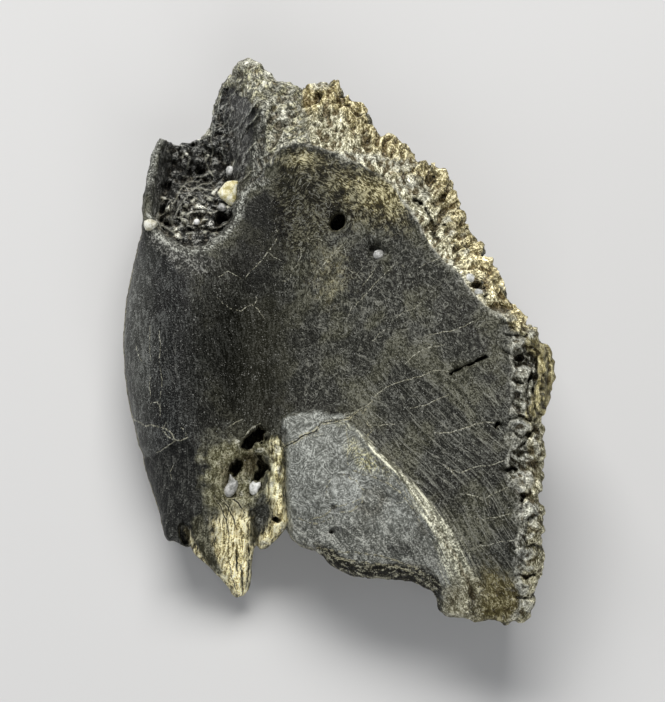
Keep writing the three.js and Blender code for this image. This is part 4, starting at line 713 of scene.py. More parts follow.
def zones(L, N):
    """Masks in 0..1 for each vertex, from its station on the layout plane and how it faces."""
    A, B = DATUM[0] + L[:, 0] / UNIT, DATUM[1] - L[:, 1] / UNIT
    z = {}
    wob = 2.2 * noise(A / 9, B / 9, 0.2, 31) + 1.2 * noise(A / 4, B / 4, 0.2, 32)
    dep = interp2(TOP, L[:, 0], L[:, 1]) - L[:, 2]
    front = smooth((N[:, 2] - 0.02) / 0.2)
    fa = poly_dist(FACE_AREA, A, B)
    out = smooth(0.5 - fa / 3.0)
    t = hollow_depth(A, B)
    holl = smooth(t * 3.0)
    z["front"] = front
    z["out"] = out * (1 - holl)
    crest = smooth((poly_dist(PEAK, A, B) + wob * 1.5) / 5 + 0.4)
    holl = holl * (1 - crest * smooth((B - 60) / 1))
    peak = np.maximum(out * (1 - smooth((A - 286 - 0.25 * (B - 100) + wob * 2) / 26)) * smooth((165 - B) / 12), crest)
    z["peak"] = peak
    z["bevel"] = z["out"] * (1 - peak) * (1 - smooth((B - 318) / 25))
    z["suture"] = z["out"] * smooth((B - 310) / 25)
    rim = poly_dist(OUTLINE, A, B)
    z["outer"] = z["suture"] * (1 - smooth((rim - 13 + wob) / 5))
    z["lobe"] = smooth((poly_dist(LOBE, A, B) + wob * 1.1) / np.where(B < 425, 9.0, 3.0) + 0.5)
    rd, rside, rrun, rs, rt = line_dist(RIDGE, A, B)
    R = np.array(RIDGE)
    wid = (R[rs, 3] * (1 - rt) + R[rs + 1, 3] * rt) * 0.95
    z["ridge"] = np.exp(-(((rd + 0.3 * wob) / wid) ** 2)) * smooth((B - 415) / 45)
    z["corner"] = smooth((poly_dist([[438,590],[452,580],[470,570],[490,562],[510,572],[524,592],[532,612],[520,630],[470,630],[434,620]], A, B) + wob * 1.5) / 24 + 0.30)
    z["fang"] = smooth((poly_dist(FANG, A, B) + wob * 1.8) / np.where(B < 540, 26.0, 13.0) + 0.34)
    edgeline = line_dist(FANG_EDGE[0], A, B)[0]
    z["fang"] = np.maximum(z["fang"], 0.62 * np.exp(-((edgeline + 0.4 * wob) / 2.4) ** 2) * smooth((B - 524) / 12))
    z["band"] = smooth((poly_dist(FANG_BAND, A, B) + wob * 0.8) / 6 + 0.4)
    z["cream"] = smooth((poly_dist(SLOT_CREAM, A, B) + wob) / np.where(A > 277, 3.0, 9.0) + 0.4) * (0.35 + 0.65 * smooth((B - 434) / 24))
    z["olive"] = smooth((poly_dist(SLOT_OLIVE, A, B) + wob * 2.5) / 22 + 0.3)
    z["hollow"] = holl
    hd, _, _, _, _ = line_dist([[150,215],[154,228],[166,240],[178,247],[190,252],[204,249],[212,244],[219,239],[226,233],[232,227],[237,217],[239,206],[243,194],[250,187],[262,184],[268,181]], A, B)
    z["rim"] = np.exp(-((hd + 0.3 * wob - 0.5) / 3.7) ** 2) * (1 - 0.45 * smooth((A - 246) / 14))
    leftrim = line_dist([[161,139],[155,148],[150,163],[147,178]], A, B)[0]
    z["rim"] = np.maximum(z["rim"], np.exp(-((leftrim + 0.4 * wob) / 6.5) ** 2))
    crust = poly_dist([[143,222],[156,232],[170,244],[190,254],[212,248],[214,262],[200,276],[178,270],[162,256],[148,244]], A, B)
    z["crust"] = smooth((crust + wob * 2) / 11 + 0.35)
    z["spall"] = smooth((poly_dist(SPALL, A, B) + wob * 0.7) / 3)
    z["valley"] = np.exp(-(((A - 236 - 0.10 * (B - 320)) / 52) ** 2)) * smooth((B - 262) / 60) * (1 - smooth((B - 400) / 45))
    z["brown"] = np.exp(-(((A - 262 + 0.05 * (B - 340)) / 26) ** 2)) * smooth((B - 270) / 50) * (1 - smooth((B - 440) / 45))
    z["pad"] = smooth((poly_dist(PAD, A, B) + wob * 2) / 18 + 0.3) * (1 - out)
    gold = np.exp(-(((A - 388) / 30) ** 2 + ((B - 196) / 22) ** 2)) + 0.6 * np.exp(-(((A - 304) / 20) ** 2 + ((B - 160) / 10) ** 2)) + 0.4 * np.exp(-(((A - 350) / 26) ** 2 + ((B - 180) / 14) ** 2)) + 0.22 * np.exp(-(((A - 330) / 24) ** 2 + ((B - 276) / 30) ** 2))
    z["gold"] = np.clip(gold, 0, 1) * (1 - out)
    lipd = line_dist(SUTURE_EDGE[7:34], A, B)[0]
    z["lip"] = np.exp(-((lipd + 0.25 * wob) / 2.0) ** 2) * (0.45 + 0.55 * smooth((A - 380) / 30))
    edge = line_dist(SUTURE_EDGE[34:], A, B)[0]
    z["edge"] = np.exp(-((edge + 0.35 * wob) / 3.0) ** 2)
    z["pegs"] = np.zeros(A.shape)
    Aw, Bw = ragged_at(A, B)
    for a, b, rx, ry, turn, _, wh in PEGS:
        z["pegs"] = np.maximum(z["pegs"], wh * bump(Aw, Bw, a, b, rx, ry, turn, 0.45))
    z["groove"] = np.zeros(A.shape)
    for pts in GROOVES:
        z["groove"] = np.maximum(z["groove"], np.exp(-((line_dist(pts, Aw, Bw)[0] + 0.2 * wob) / 1.5) ** 2))
    z["dimmer"] = smooth((272 - A) / 10) * smooth((B - 92) / 22)
    z["shade"] = np.clip(smooth((B - 500 - 0.10 * (A - 380) + 3 * wob) / 50) + 0.8 * bump(A, B, 375, 500, 22, 30, 0.5, 0.8) + 0.5 * bump(A, B, 352, 533, 26, 10, 0.1, 0.8), 0, 1)
    z["pale"] = smooth((poly_dist([[330,478],[345,474],[358,479],[364,490],[363,503],[352,511],[338,508],[331,496]], A, B) + wob) / 5 + 0.4)
    z["straw"] = np.clip(1.2 * bump(A, B, 366, 461, 20, 13, 0.7, 0.8) + 0.7 * bump(A, B, 352, 446, 12, 14, 0.4, 0.9) + 0.55 * bump(A, B, 385, 470, 14, 8, 0.8, 0.9) + 0.5 * bump(A, B, 345, 425, 20, 6, 0.4, 0.9), 0, 1)
    z["holldark"] = holl * smooth((190 - B + 0.25 * (A - 200) + 3 * wob) / 16) * (1 - crest)
    z["golden"] = np.clip(smooth((34 - rim + 3 * wob) / 26) * 0.9 + 0.5 * smooth((118 - B) / 20) * smooth((A - 300) / 12), 0, 1)
    z["dusk"] = smooth((poly_dist([[234,238],[242,216],[247,200],[258,195],[268,190],[276,196],[287,210],[291,232],[286,256],[276,276],[262,296],[244,290],[232,262]], A, B) + 2 * wob) / np.where(B < 215, 9.0, 18.0) + 0.5)
    z["slate"] = 0.85 * smooth((poly_dist(SLATE, A, B) + 1.6 * wob - 1.0) / 9 + 0.3)
    z["hollight"] = holl * (1 - crest) * np.clip(bump(A, B, 200, 216, 24, 20, 0.0, 0.9) + 0.6 * bump(A, B, 172, 232, 14, 10, 0.5, 0.9) + 0.8 * bump(A, B, 160, 222, 10, 8, 0, 0.9) + 0.5 * bump(A, B, 187, 190, 14, 10, -0.4, 0.9), 0, 1)
    # painted shade: dark patches on the lobe standing in for the shading of its low swells
    z["painted_lobe_shade"] = np.clip(bump(A, B, 338, 509, 12, 8, 0.2, 0.9) + 0.8 * bump(A, B, 364, 496, 15, 9, 0.5, 0.9) + 0.7 * bump(A, B, 347, 531, 22, 9, 0.1, 0.9) + 0.7 * bump(A, B, 398, 548, 26, 12, 0.3, 0.9) + 0.6 * bump(A, B, 352, 452, 5, 22, 0.1, 0.9) + 0.5 * bump(A, B, 316, 506, 14, 8, 0, 0.9) + 0.6 * bump(A, B, 392, 497, 30, 7, 0.85, 0.9) + 0.6 * bump(A, B, 322, 546, 16, 8, 0.3, 0.9), 0, 1)
    z["fangy"] = z["fang"] * smooth((A - 222) / 12) * (0.55 + 0.45 * smooth((B - 528) / 20))
    z["rlow"] = smooth((B - 490) / 45)
    z["goldcol"] = z["outer"] * smooth((B - 334) / 12) * (1 - smooth((B - 412) / 12))
    z["rimd"] = np.clip(rim * UNIT / 4.0, 0, 1)
    z["sdark"] = np.clip(bump(A, B, 250, 462, 22, 19, 0.25, 0.9) + 0.5 * bump(A, B, 251, 466, 7, 14, 0.1, 0.8) + 0.7 * bump(A, B, 228, 470, 16, 22, 0.2, 0.9), 0, 1) * front
    z["strip"] = smooth((A - 255) / 8) * smooth((B - 428) / 10) * smooth((508 - B) / 14)
    z["mustard"] = smooth((A - 470 + wob * 2) / 18)
    z["lowgold"] = smooth((B - 222) / 34) * z["bevel"]
    # painted sheen: the flank is lighter towards its left limb
    z["painted_limb_sheen"] = smooth((166 - A) / 34) * smooth((B - 230) / 30)
    z["white"] = np.clip(sum(bump(A, B, a, b, rx, ry, 0, 0.8) for a, b, rx, ry in (
        (410,183,22,15),(400,165,26,10),(372,158,26,8),(350,157,20,7),(425,195,10,12),(447,220,7,6),(451,232,6,5),(463,236,5,5),(466,252,6,6),(451,262,6,5),(470,278,9,7),(479,292,9,6),
        (500,312,16,7),(516,344,13,9),(531,334,5,7),(523,373,11,8),(527,403,5,5),(524,428,13,5),(524,482,14,12),(529,512,12,10),(512,318,10,5),(250,64,12,8),(289,489,4,3),(290,526,4,8),(318,551,5,2),(268,74,9,8),(212,112,4,8),(206,132,8,5),(320,84,16,9),(284,118,14,16),(260,450,8,4),(246,447,5,3),(249,481,3,5),(236,441,5,4),(277,450,5,8),(279,470,4,9),(271,484,5,5),(263,543,7,4),(282,528,4,8),(241,494,3,4))), 0, 1)
    z["flank"] = smooth((225 - A) / 50) * smooth((B - 225) / 40)
    z["bits"] = np.zeros(A.shape)
    for a, b, rx, ry, turn, _, wh in CRUMBS:
        z["bits"] = np.maximum(z["bits"], wh ** 1.1 * np.clip(1.15 * chip(A + 0.3 * wob, B - 0.3 * wob, a, b, rx * 1.18, ry * 1.18, turn, 0.30), 0, 1))
    for pts, w, h in STRUTS:
        z["bits"] = np.maximum(z["bits"], 0.20 * smooth(1.5 - line_dist(pts, A, B)[0] / (0.7 * w)))
    z["bits"] = z["bits"] * (1 - smooth((dep - 0.9) / 0.8))
    wall = poly_dist(WALL, A, B)
    z["wall"] = smooth((wall + wob * 1.5) / 7 + 0.4)
    z["lowlip"] = smooth((B - 538) / 16) * smooth((A - 284) / 10) * smooth((450 - A) / 14) * smooth((19 - rim + wob * 0.8 - 5 * smooth((345 - A) / 30)) / 7)
    z["striae"] = smooth((A - 330) / 60) * smooth((B - 330) / 70) * (1 - z["lobe"])
    z["plate"] = smooth((A - 268 - 0.06 * (B - 300)) / 40)
    z["slotpit"] = np.clip(sum(smooth((poly_dist(p, A, B) + 3) / 5) for p in (SLOT_A, SLOT_B, SLOT_C)), 0, 1)
    z["dep"] = dep
    z["under"] = smooth((-N[:, 2] + 0.05) / 0.3)
    z["A"], z["B"] = A, B
    return z


def flow_fields(L):
    """Stretch directions: (along, across, depth) in mm for the plate, the flank and the sutures."""
    A, B = DATUM[0] + L[:, 0] / UNIT, DATUM[1] - L[:, 1] / UNIT
    guide = [[250,300],[290,345],[330,400],[365,440],[400,480],[433,523],[460,577],[480,630]]
    d, side, run, _, _ = line_dist(guide, A, B)
    turn = math.radians(54)
    a0 = (A * math.cos(turn) + B * math.sin(turn))
    x0 = (-A * math.sin(turn) + B * math.cos(turn))
    bend = 14 * np.sin((A + B) / 130) + 8 * noise(A / 60, B / 60, 0.7, 41)
    plate = np.stack([a0, x0 + bend, L[:, 2] / UNIT * 0.6], -1) * UNIT
    flank = np.stack([B, A + 10 * np.sin(B / 90) + 3 * noise(A / 40, B / 40, 1.7, 42), L[:, 2] / UNIT * 0.7], -1) * UNIT
    sd, sside, srun, _, _ = line_dist(SUTURE_EDGE[8:], A, B)
    # smooth version of the run so that the ridges don't fan at each corner
    ang = np.arctan2(B - 340, A - 330)
    ring = ang * 190
    sut = np.stack([sd, ring + 3 * noise(A / 25, B / 25, 2.7, 43), L[:, 2] / UNIT * 0.8], -1) * UNIT
    rdist, rside, rrun, _, _ = line_dist([[340,405],[358,430],[375,452],[395,470],[415,496],[433,522],[448,550],[462,577],[480,620]], A, B)
    ridge = np.stack([rrun, rdist * rside, L[:, 2] / UNIT * 0.7], -1) * UNIT
    return plate, flank, sut, ridge


# ------------------------------------------------- fine relief along the normals
z = zones(L, NORMAL)
plate, flankf, sut, ridgef = flow_fields(L)
W = to_world(L)
wx, wy, wz = W.T
amp = 0.0
core = 1 - np.clip(z["hollow"] + z["out"], 0, 1)
amp = amp + core * z["front"] * (1 - z["lobe"]) * 0.035 * fbm(plate[:, 0] / 2.2, plate[:, 1] / 0.42, plate[:, 2], 2, 51)
amp = amp + z["flank"] * z["front"] * 0.03 * fbm(flankf[:, 0] / 3.0, flankf[:, 1] / 0.5, flankf[:, 2] / 2, 2, 52)
side = np.clip(1 - z["front"] + smooth((z["dep"] - 0.8) / 1.0), 0, 1) * (1 - z["under"])
rough = z["bevel"] + 0.8 * z["peak"] + 0.9 * z["suture"]
fold = ridged(sut[:, 0] / 4.4 + 0.6 * noise(wx / 1.6, wy / 1.6, wz / 1.6, 77), sut[:, 1] / 1.45 + 0.7 * noise(wx / 2.2, wy / 2.2, wz / 2.2, 78), sut[:, 2] / 2.6, 53)
fold2 = ridged(sut[:, 0] / 1.6 + 0.5 * noise(wx / 1.1, wy / 1.1, wz / 1.1, 93), sut[:, 1] / 0.8 + 0.5 * noise(wx / 1.1, wy / 1.1, wz / 1.1, 94), sut[:, 2] / 1.1, 95)
amp = amp + z["bevel"] * ((0.34 + 0.46 * z["golden"]) * (fold - 0.45) + 0.20 * (fold2 - 0.4) + 0.09 * noise(wx / 0.5, wy / 0.5, wz / 0.5, 54))
amp = amp + z["peak"] * (0.30 * (ridged((wx + wy) / 3.4 + 0.7 * noise(wx / 2, wy / 2, wz / 2, 7), (wx - wy) / 1.5 + 0.5 * noise(wx / 1.3, wy / 1.3, wz / 1.3, 8), wz / 1.6, 55) - 0.4) + 0.10 * noise(wx / 0.55, wy / 0.55, wz / 0.55, 56))
amp = amp + z["suture"] * (1 - 0.6 * z["goldcol"]) * (0.30 * (ridged(sut[:, 0] / 3.4 + 0.5 * noise(wx / 1.5, wy / 1.5, wz / 1.5, 88), sut[:, 1] / 0.85 + 0.6 * noise(wx / 1.7, wy / 1.7, wz / 1.7, 89), sut[:, 2] / 1.8, 57) - 0.4) + 0.13 * noise(wx / 0.5, wy / 0.5, wz / 0.5, 58))
amp = amp + z["lobe"] * z["front"] * (0.05 * fbm(L[:, 0] / 0.8, L[:, 1] / 1.1, L[:, 2] / 2, 2, 59) + 0.05 * noise(L[:, 0] / 2.2, L[:, 1] / 1.6, 0.0, 60))
amp = amp + z["ridge"] * 0.06 * ridged(ridgef[:, 0] / 3.2, ridgef[:, 1] / 0.5, ridgef[:, 2], 61)
amp = amp + (z["fang"] + z["cream"]).clip(0, 1) * z["front"] * (0.16 * ridged(flankf[:, 0] / 1.9, flankf[:, 1] / 0.55, flankf[:, 2] / 1.5, 62) + 0.08 * noise(wx / 0.5, wy / 0.5, wz / 0.5, 63))
amp = amp + z["olive"] * 0.10 * fbm(wx / 1.2, wy / 1.2, wz / 1.2, 2, 64)
amp = amp + z["hollow"] * (0.22 * fbm(wx / 1.1, wy / 1.1, wz / 1.1, 3, 65))
amp = amp + z["rim"] * (1 - z["hollow"]) * 0.14 * fbm(wx / 0.7, wy / 0.7, wz / 0.7, 2, 66)
amp = amp + z["crust"] * 0.10 * fbm(wx / 0.6, wy / 0.6, wz / 0.6, 2, 67)
amp = amp + z["spall"] * 0.05 * fbm(wx / 0.8, wy / 0.8, wz / 0.8, 2, 68)
amp = amp + z["corner"] * 0.12 * fbm(wx / 0.9, wy / 0.9, wz / 0.9, 3, 69)
right_side = smooth((L[:, 0] - 3) / 10)
amp = amp + side * (0.10 + 0.16 * right_side) * ridged(sut[:, 1] / 0.95, sut[:, 2] / 3.4, sut[:, 0] / 2.0, 70) * (1 - z["flank"])
amp = amp + side * 0.10 * noise(wx / 0.7, wy / 0.7, wz / 0.7, 71) * (1 - 0.7 * z["flank"])
amp = amp + z["under"] * 0.05 * fbm(wx / 2.5, wy / 2.5, wz / 2.5, 3, 72)
# scute furrows and small nutrient pits of the outer side
for pts in ([[-26,8],[-14,4],[-4,6],[6,3],[18,8],[28,6]], [[-4,6],[-2,-8],[3,-20],[1,-30]], [[6,3],[10,16],[7,30]]):
    fd = line_dist(pts, wx + 0.8 * noise(wx / 5, wy / 5, 0.0, 73), wy + 0.8 * noise(wx / 5, wy / 5, 3.0, 74))[0]
    amp = amp - z["under"] * 0.42 * np.exp(-(fd / 0.55) ** 2) + z["under"] * 0.10 * np.exp(-((fd - 1.3) / 0.5) ** 2)
pit = noise(wx / 0.9, wy / 0.9, wz / 0.9, 75)
amp = amp - z["under"] * 0.14 * smooth((pit - 0.55) / 0.2)
L = L + NORMAL * amp[:, None]
W = to_world(L)
W[:, 2] = np.maximum(W[:, 2], 0.0)

# ---------------------------------------------------------------- mesh object
def make_mesh(name, V, faces):
    me = bpy.data.meshes.new(name)
    me.vertices.add(len(V))
    me.vertices.foreach_set("co", np.asarray(V, np.float32).ravel())
    n = faces.shape[1]
    me.loops.add(len(faces) * n)
    me.loops.foreach_set("vertex_index", faces.astype(np.int32).ravel())
    me.polygons.add(len(faces))
    me.polygons.foreach_set("loop_start", np.arange(0, len(faces) * n, n, dtype=np.int32))
    me.update(calc_edges=True)
    me.validate()
    ob = bpy.data.objects.new(name, me)
    bpy.context.scene.collection.objects.link(ob)
    return ob


bone = make_mesh("bone", W / 1000.0, quads)
mod = bone.modifiers.new("thin", "DECIMATE")
mod.ratio = min(1.0, TRIANGLES / (2.0 * len(quads)))
mod.use_collapse_triangulate = True
bpy.context.view_layer.update()
deps = bpy.context.evaluated_depsgraph_get()
thin = bpy.data.meshes.new_from_object(bone.evaluated_get(deps))
bone.modifiers.clear()
bone.data = thin
thin.name = "bone"

co = np.empty(len(thin.vertices) * 3, np.float32)
thin.vertices.foreach_get("co", co)
co = co.reshape(-1, 3).astype(float) * 1000
co[:, 2] = np.maximum(co[:, 2], 0.0)
thin.vertices.foreach_set("co", (co / 1000).astype(np.float32).ravel())
tri = np.empty(len(thin.polygons) * 3, np.int32)
thin.loops.foreach_get("vertex_index", tri)
tri = tri.reshape(-1, 3)
thin.polygons.foreach_set("use_smooth", np.ones(len(thin.polygons), bool))
thin.update()
VL = to_layout(co)
fn = np.cross(VL[tri[:, 1]] - VL[tri[:, 0]], VL[tri[:, 2]] - VL[tri[:, 0]])
VN = np.stack([sum(np.bincount(tri[:, c], fn[:, d], len(co)) for c in range(3)) for d in range(3)], -1)
VN /= np.maximum(np.linalg.norm(VN, axis=1, keepdims=True), 1e-12)
z = zones(VL, VN)
plate, flankf, sut, ridgef = flow_fields(VL)


def put(name, kind, domain, data):
    at = thin.attributes.new(name, kind, domain)
    key = {"FLOAT_VECTOR": "vector", "FLOAT_COLOR": "color", "FLOAT": "value"}[kind]
    at.data.foreach_set(key, np.ascontiguousarray(data, np.float32).ravel())


def pack(*names):
    return np.stack([z[n] for n in names], -1)


side = np.clip(1 - z["front"] + smooth((z["dep"] - 0.9) / 0.8), 0, 1) * (1 - z["hollow"])
z["side"] = side * (1 - z["under"])
z["creamy"] = np.clip(z["fang"] + z["cream"], 0, 1) * (1 - z["slate"])
put("z1", "FLOAT_COLOR", "POINT", pack("bevel", "lobe", "creamy", "hollow"))
put("z2", "FLOAT_COLOR", "POINT", pack("peak", "suture", "corner", "rim"))
put("z3", "FLOAT_COLOR", "POINT", pack("valley", "pad", "gold", "spall"))
put("z4", "FLOAT_COLOR", "POINT", pack("side", "under", "olive", "flank"))
put("z5", "FLOAT_COLOR", "POINT", pack("ridge", "lip", "white", "crust"))
put("z6", "FLOAT_COLOR", "POINT", pack("brown", "outer", "edge", "band"))
put("z7", "FLOAT_COLOR", "POINT", pack("bits", "wall", "lowlip", "striae"))
put("z8", "FLOAT_COLOR", "POINT", pack("plate", "slotpit", "front", "out"))
put("z9", "FLOAT_COLOR", "POINT", pack("pegs", "groove", "painted_limb_sheen", "dimmer"))
put("za", "FLOAT_COLOR", "POINT", pack("shade", "pale", "straw", "rlow"))
put("zb", "FLOAT_COLOR", "POINT", pack("holldark", "golden", "dusk", "slate"))
put("zc", "FLOAT_COLOR", "POINT", pack("hollight", "painted_lobe_shade", "fangy", "goldcol"))
# how far each vertex stands out from its smoothed surroundings, near and wide
ea, eb = np.concatenate([tri[:, 0], tri[:, 1], tri[:, 2]]), np.concatenate([tri[:, 1], tri[:, 2], tri[:, 0]])
share = np.maximum(np.bincount(ea, minlength=len(VL)), 1)[:, None]
mean, stand = VL, []
for k in range(12):
    mean = np.stack([np.bincount(ea, mean[eb, d], len(VL)) for d in range(3)], -1) / share
    if k in (1, 4, 11):
        stand.append(((VL - mean) * VN).sum(1))
z["near"] = np.clip(0.5 + stand[0] / 0.10, 0, 1)
z["wide"] = np.clip(0.5 + stand[1] / 0.24, 0, 1)
z["broad"] = np.clip(0.5 + stand[2] / 0.5, 0, 1)
put("zd", "FLOAT_COLOR", "POINT", pack("near", "wide", "broad", "mustard"))
put("ze", "FLOAT_COLOR", "POINT", pack("lowgold", "rimd", "sdark", "strip"))
put("flow_plate", "FLOAT_VECTOR", "POINT", plate)
put("flow_flank", "FLOAT_VECTOR", "POINT", flankf)
put("flow_suture", "FLOAT_VECTOR", "POINT", sut)
put("flow_ridge", "FLOAT_VECTOR", "POINT", ridgef)
put("lay", "FLOAT_VECTOR", "POINT", VL)

# signed distance to the nearest vein or crack, per triangle corner
segs = []
rng = np.random.default_rng(7)
for pts, wd, kind in LINES:
    fine = []
    for n in range(len(pts) - 1):
        p, q = np.array(pts[n], float), np.array(pts[n + 1], float)
        m = max(1, int(np.hypot(*(q - p)) / 3.0))
        for s in range(m):
            fine.append(p + (q - p) * s / m + (rng.normal(0, 0.28, 2) if (n or s) else 0))
    fine.append(np.array(pts[-1], float))
    for n in range(len(fine) - 1):
        taper = min(1.0, 0.45 + min(n + 0.5, len(fine) - 1.5 - n) / 3.0)
        segs.append((*fine[n], *fine[n + 1], wd * taper, kind))
segs = np.array(segs)
cen = VL[tri].mean(1)
CA, CB = DATUM[0] + cen[:, 0] / UNIT, DATUM[1] - cen[:, 1] / UNIT
bestd = np.full(len(cen), 1e9)
besti = np.zeros(len(cen), np.int32)
for n, (ax, ay, bx, by, wd, kind) in enumerate(segs):
    box = (CA > min(ax, bx) - 9) & (CA < max(ax, bx) + 9) & (CB > min(ay, by) - 9) & (CB < max(ay, by) + 9)
    ii = np.nonzero(box)[0]
    if not len(ii):
        continue
    dx, dy = bx - ax, by - ay
    t = np.clip(((CA[ii] - ax) * dx + (CB[ii] - ay) * dy) / (dx * dx + dy * dy), 0, 1)
    d = np.hypot(CA[ii] - ax - t * dx, CB[ii] - ay - t * dy)
    m = d < bestd[ii]
    bestd[ii[m]] = d[m]
    besti[ii[m]] = n
S = segs[besti]
corner = VL[tri]
KA, KB = DATUM[0] + corner[..., 0] / UNIT, DATUM[1] - corner[..., 1] / UNIT
sx, sy = (S[:, 2] - S[:, 0])[:, None], (S[:, 3] - S[:, 1])[:, None]
sl = np.hypot(sx, sy)
perp = ((KA - S[:, 0][:, None]) * sy - (KB - S[:, 1][:, None]) * sx) / sl * UNIT
alongs = ((KA - S[:, 0][:, None]) * sx + (KB - S[:, 1][:, None]) * sy) / sl
beyond = np.maximum(np.maximum(-alongs, alongs - sl) - 1.5, 0) * UNIT
live = (bestd < 8)[:, None] & (z["front"][tri] > 0.01)
line = np.stack([np.where(live, perp, 9.0), np.broadcast_to(S[:, 4][:, None], perp.shape), np.where(live, beyond, 9.0), np.broadcast_to((S[:, 5] == 2).astype(float)[:, None], perp.shape)], -1)
put("line", "FLOAT_COLOR", "CORNER", line.reshape(-1, 4))

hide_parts("shell_bone")
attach(bone, "root")

# ------------------------------------------------------------- lodged grains
# name, outline in stations, half thickness in mm, slot, roughness of the shape
GRAINS = [
 ("yellow_grain", [[217,193],[220,188],[224,184],[229,181],[233,180],[238,181],[238.5,190],[238,200],[236,204],[234,207],[230,206],[226,203],[223,200],[220,198]], 0.85, "yellow_quartz", 0.10, 1.9),
 ("blue_white_bead", [[225.5,170],[227,166.5],[230,165.5],[233,166.5],[234.5,170],[234,174],[231,176],[228,175.5],[226,173.5]], 0.52, "pale_quartz", 0.05, 0.9),
 ("cream_rim_grain", [[144,221],[148,219.2],[152.5,219.4],[156.5,222],[157.5,226.5],[154,229],[150,231],[145.5,230.5],[143.6,226]], 0.62, "pale_quartz", 0.13, 0.45),
 ("grey_grain", [[217.5,207],[219,203.5],[222,202.5],[225,204.5],[227,208],[225,211],[221,211.5],[218.5,210]], 0.42, "grey_quartz", 0.07, 0.7),
 ("white_bead", [[193,221.5],[194.5,219],[197,218.3],[199.5,219.5],[200,222.5],[198,225],[194.5,224.8]], 0.42, "pale_quartz", 0.05, 0.35),
 ("foramen_pebble", [[373,255],[374.5,251],[378,249.5],[382,250],[385,253],[385.5,257],[383,260.5],[379,261.5],[375.5,260],[373.5,258]], 0.70, "grey_quartz", 0.05, 0.35),
 ("slot_grey_pebble", [[229.5,474],[231,474.5],[233,478],[236,480.5],[237.5,480],[238.5,484],[237,489],[234,494],[230,497.5],[226,497],[222.5,494],[222.5,491],[225,487],[228,483],[229,478]], 0.62, "grey_quartz", 0.06, 0.5),
 ("slot_white_pebble", [[249,484.5],[252.5,481],[256,482.5],[260.5,481.5],[261,486],[258.5,489.5],[257.5,494],[252.5,495.5],[249.5,493],[248.5,488]], 0.62, "pale_quartz", 0.11, 0.45),
 ("suture_white_grain", [[465.5,276],[468,273.5],[472,274],[475,277],[474.5,281],[471,283],[467.5,282],[465.5,279.5]], 0.50, "pale_quartz", 0.08, 0.35),
 ("suture_small_grain", [[474,291],[476,289],[480,288.8],[483,290.5],[483.5,293],[481,295],[477,294.8],[474.5,293.5]], 0.42, "pale_quartz", 0.07, 0.35),
]
pitch = 0.075
for n, (name, shape, thick, slot_name, lump, lift) in enumerate(GRAINS):
    lo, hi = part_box(name)
    mid = to_layout(np.array([[(a + b) * 500.0 for a, b in zip(lo, hi)]]))[0]
    pa, pb = np.array(shape, float).T
    gu_ = np.arange((pa.min() - DATUM[0]) * UNIT - 3 * pitch, (pa.max() - DATUM[0]) * UNIT + 4 * pitch, pitch)
    gv_ = np.arange((DATUM[1] - pb.max()) * UNIT - 3 * pitch, (DATUM[1] - pb.min()) * UNIT + 4 * pitch, pitch)
    ca, cb = pa.mean(), pb.mean()
    seat = interp2(TOP, np.array([(ca - DATUM[0]) * UNIT]), np.array([(DATUM[1] - cb) * UNIT]))[0]
    mid[2] = seat + lift
    gw_ = np.arange(mid[2] - thick - 4 * pitch, mid[2] + thick + 5 * pitch, pitch)
    gU, gV, gW = np.meshgrid(gu_, gv_, gw_, indexing="ij")
    ins = poly_dist(shape, DATUM[0] + gU / UNIT, DATUM[1] - gV / UNIT) * UNIT
    half = ins.max()
    dome = thick * np.sqrt(np.clip(1 - (1 - np.clip(ins / half, 0, 1)) ** 2.2, 0, 1))
    g = smin(ins, dome - np.abs(gW - mid[2]), 0.12)
    g = g + lump * noise(gU / 0.8, gV / 0.8, gW / 0.8, 90 + n) + 0.4 * lump * noise(gU / 0.35, gV / 0.35, gW / 0.35, 120 + n)
    g[0] = g[-1] = g[:, 0] = g[:, -1] = g[:, :, 0] = g[:, :, -1] = -0.1
    gp, gq = surface_nets(g)
    gp = np.stack([gu_[0] + gp[:, 0] * pitch, gv_[0] + gp[:, 1] * pitch, gw_[0] + gp[:, 2] * pitch], -1)
    gnb = neighbours(gq, len(gp))
    gp = relax(relax(gp, gnb, 0.5), gnb, -0.5)
    piece = make_mesh("stone_" + name, to_world(gp) / 1000.0, gq)
    piece.data.polygons.foreach_set("use_smooth", np.ones(len(piece.data.polygons), bool))
    piece["stone_slot"] = slot_name
    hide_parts(name)
    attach(piece, "root")

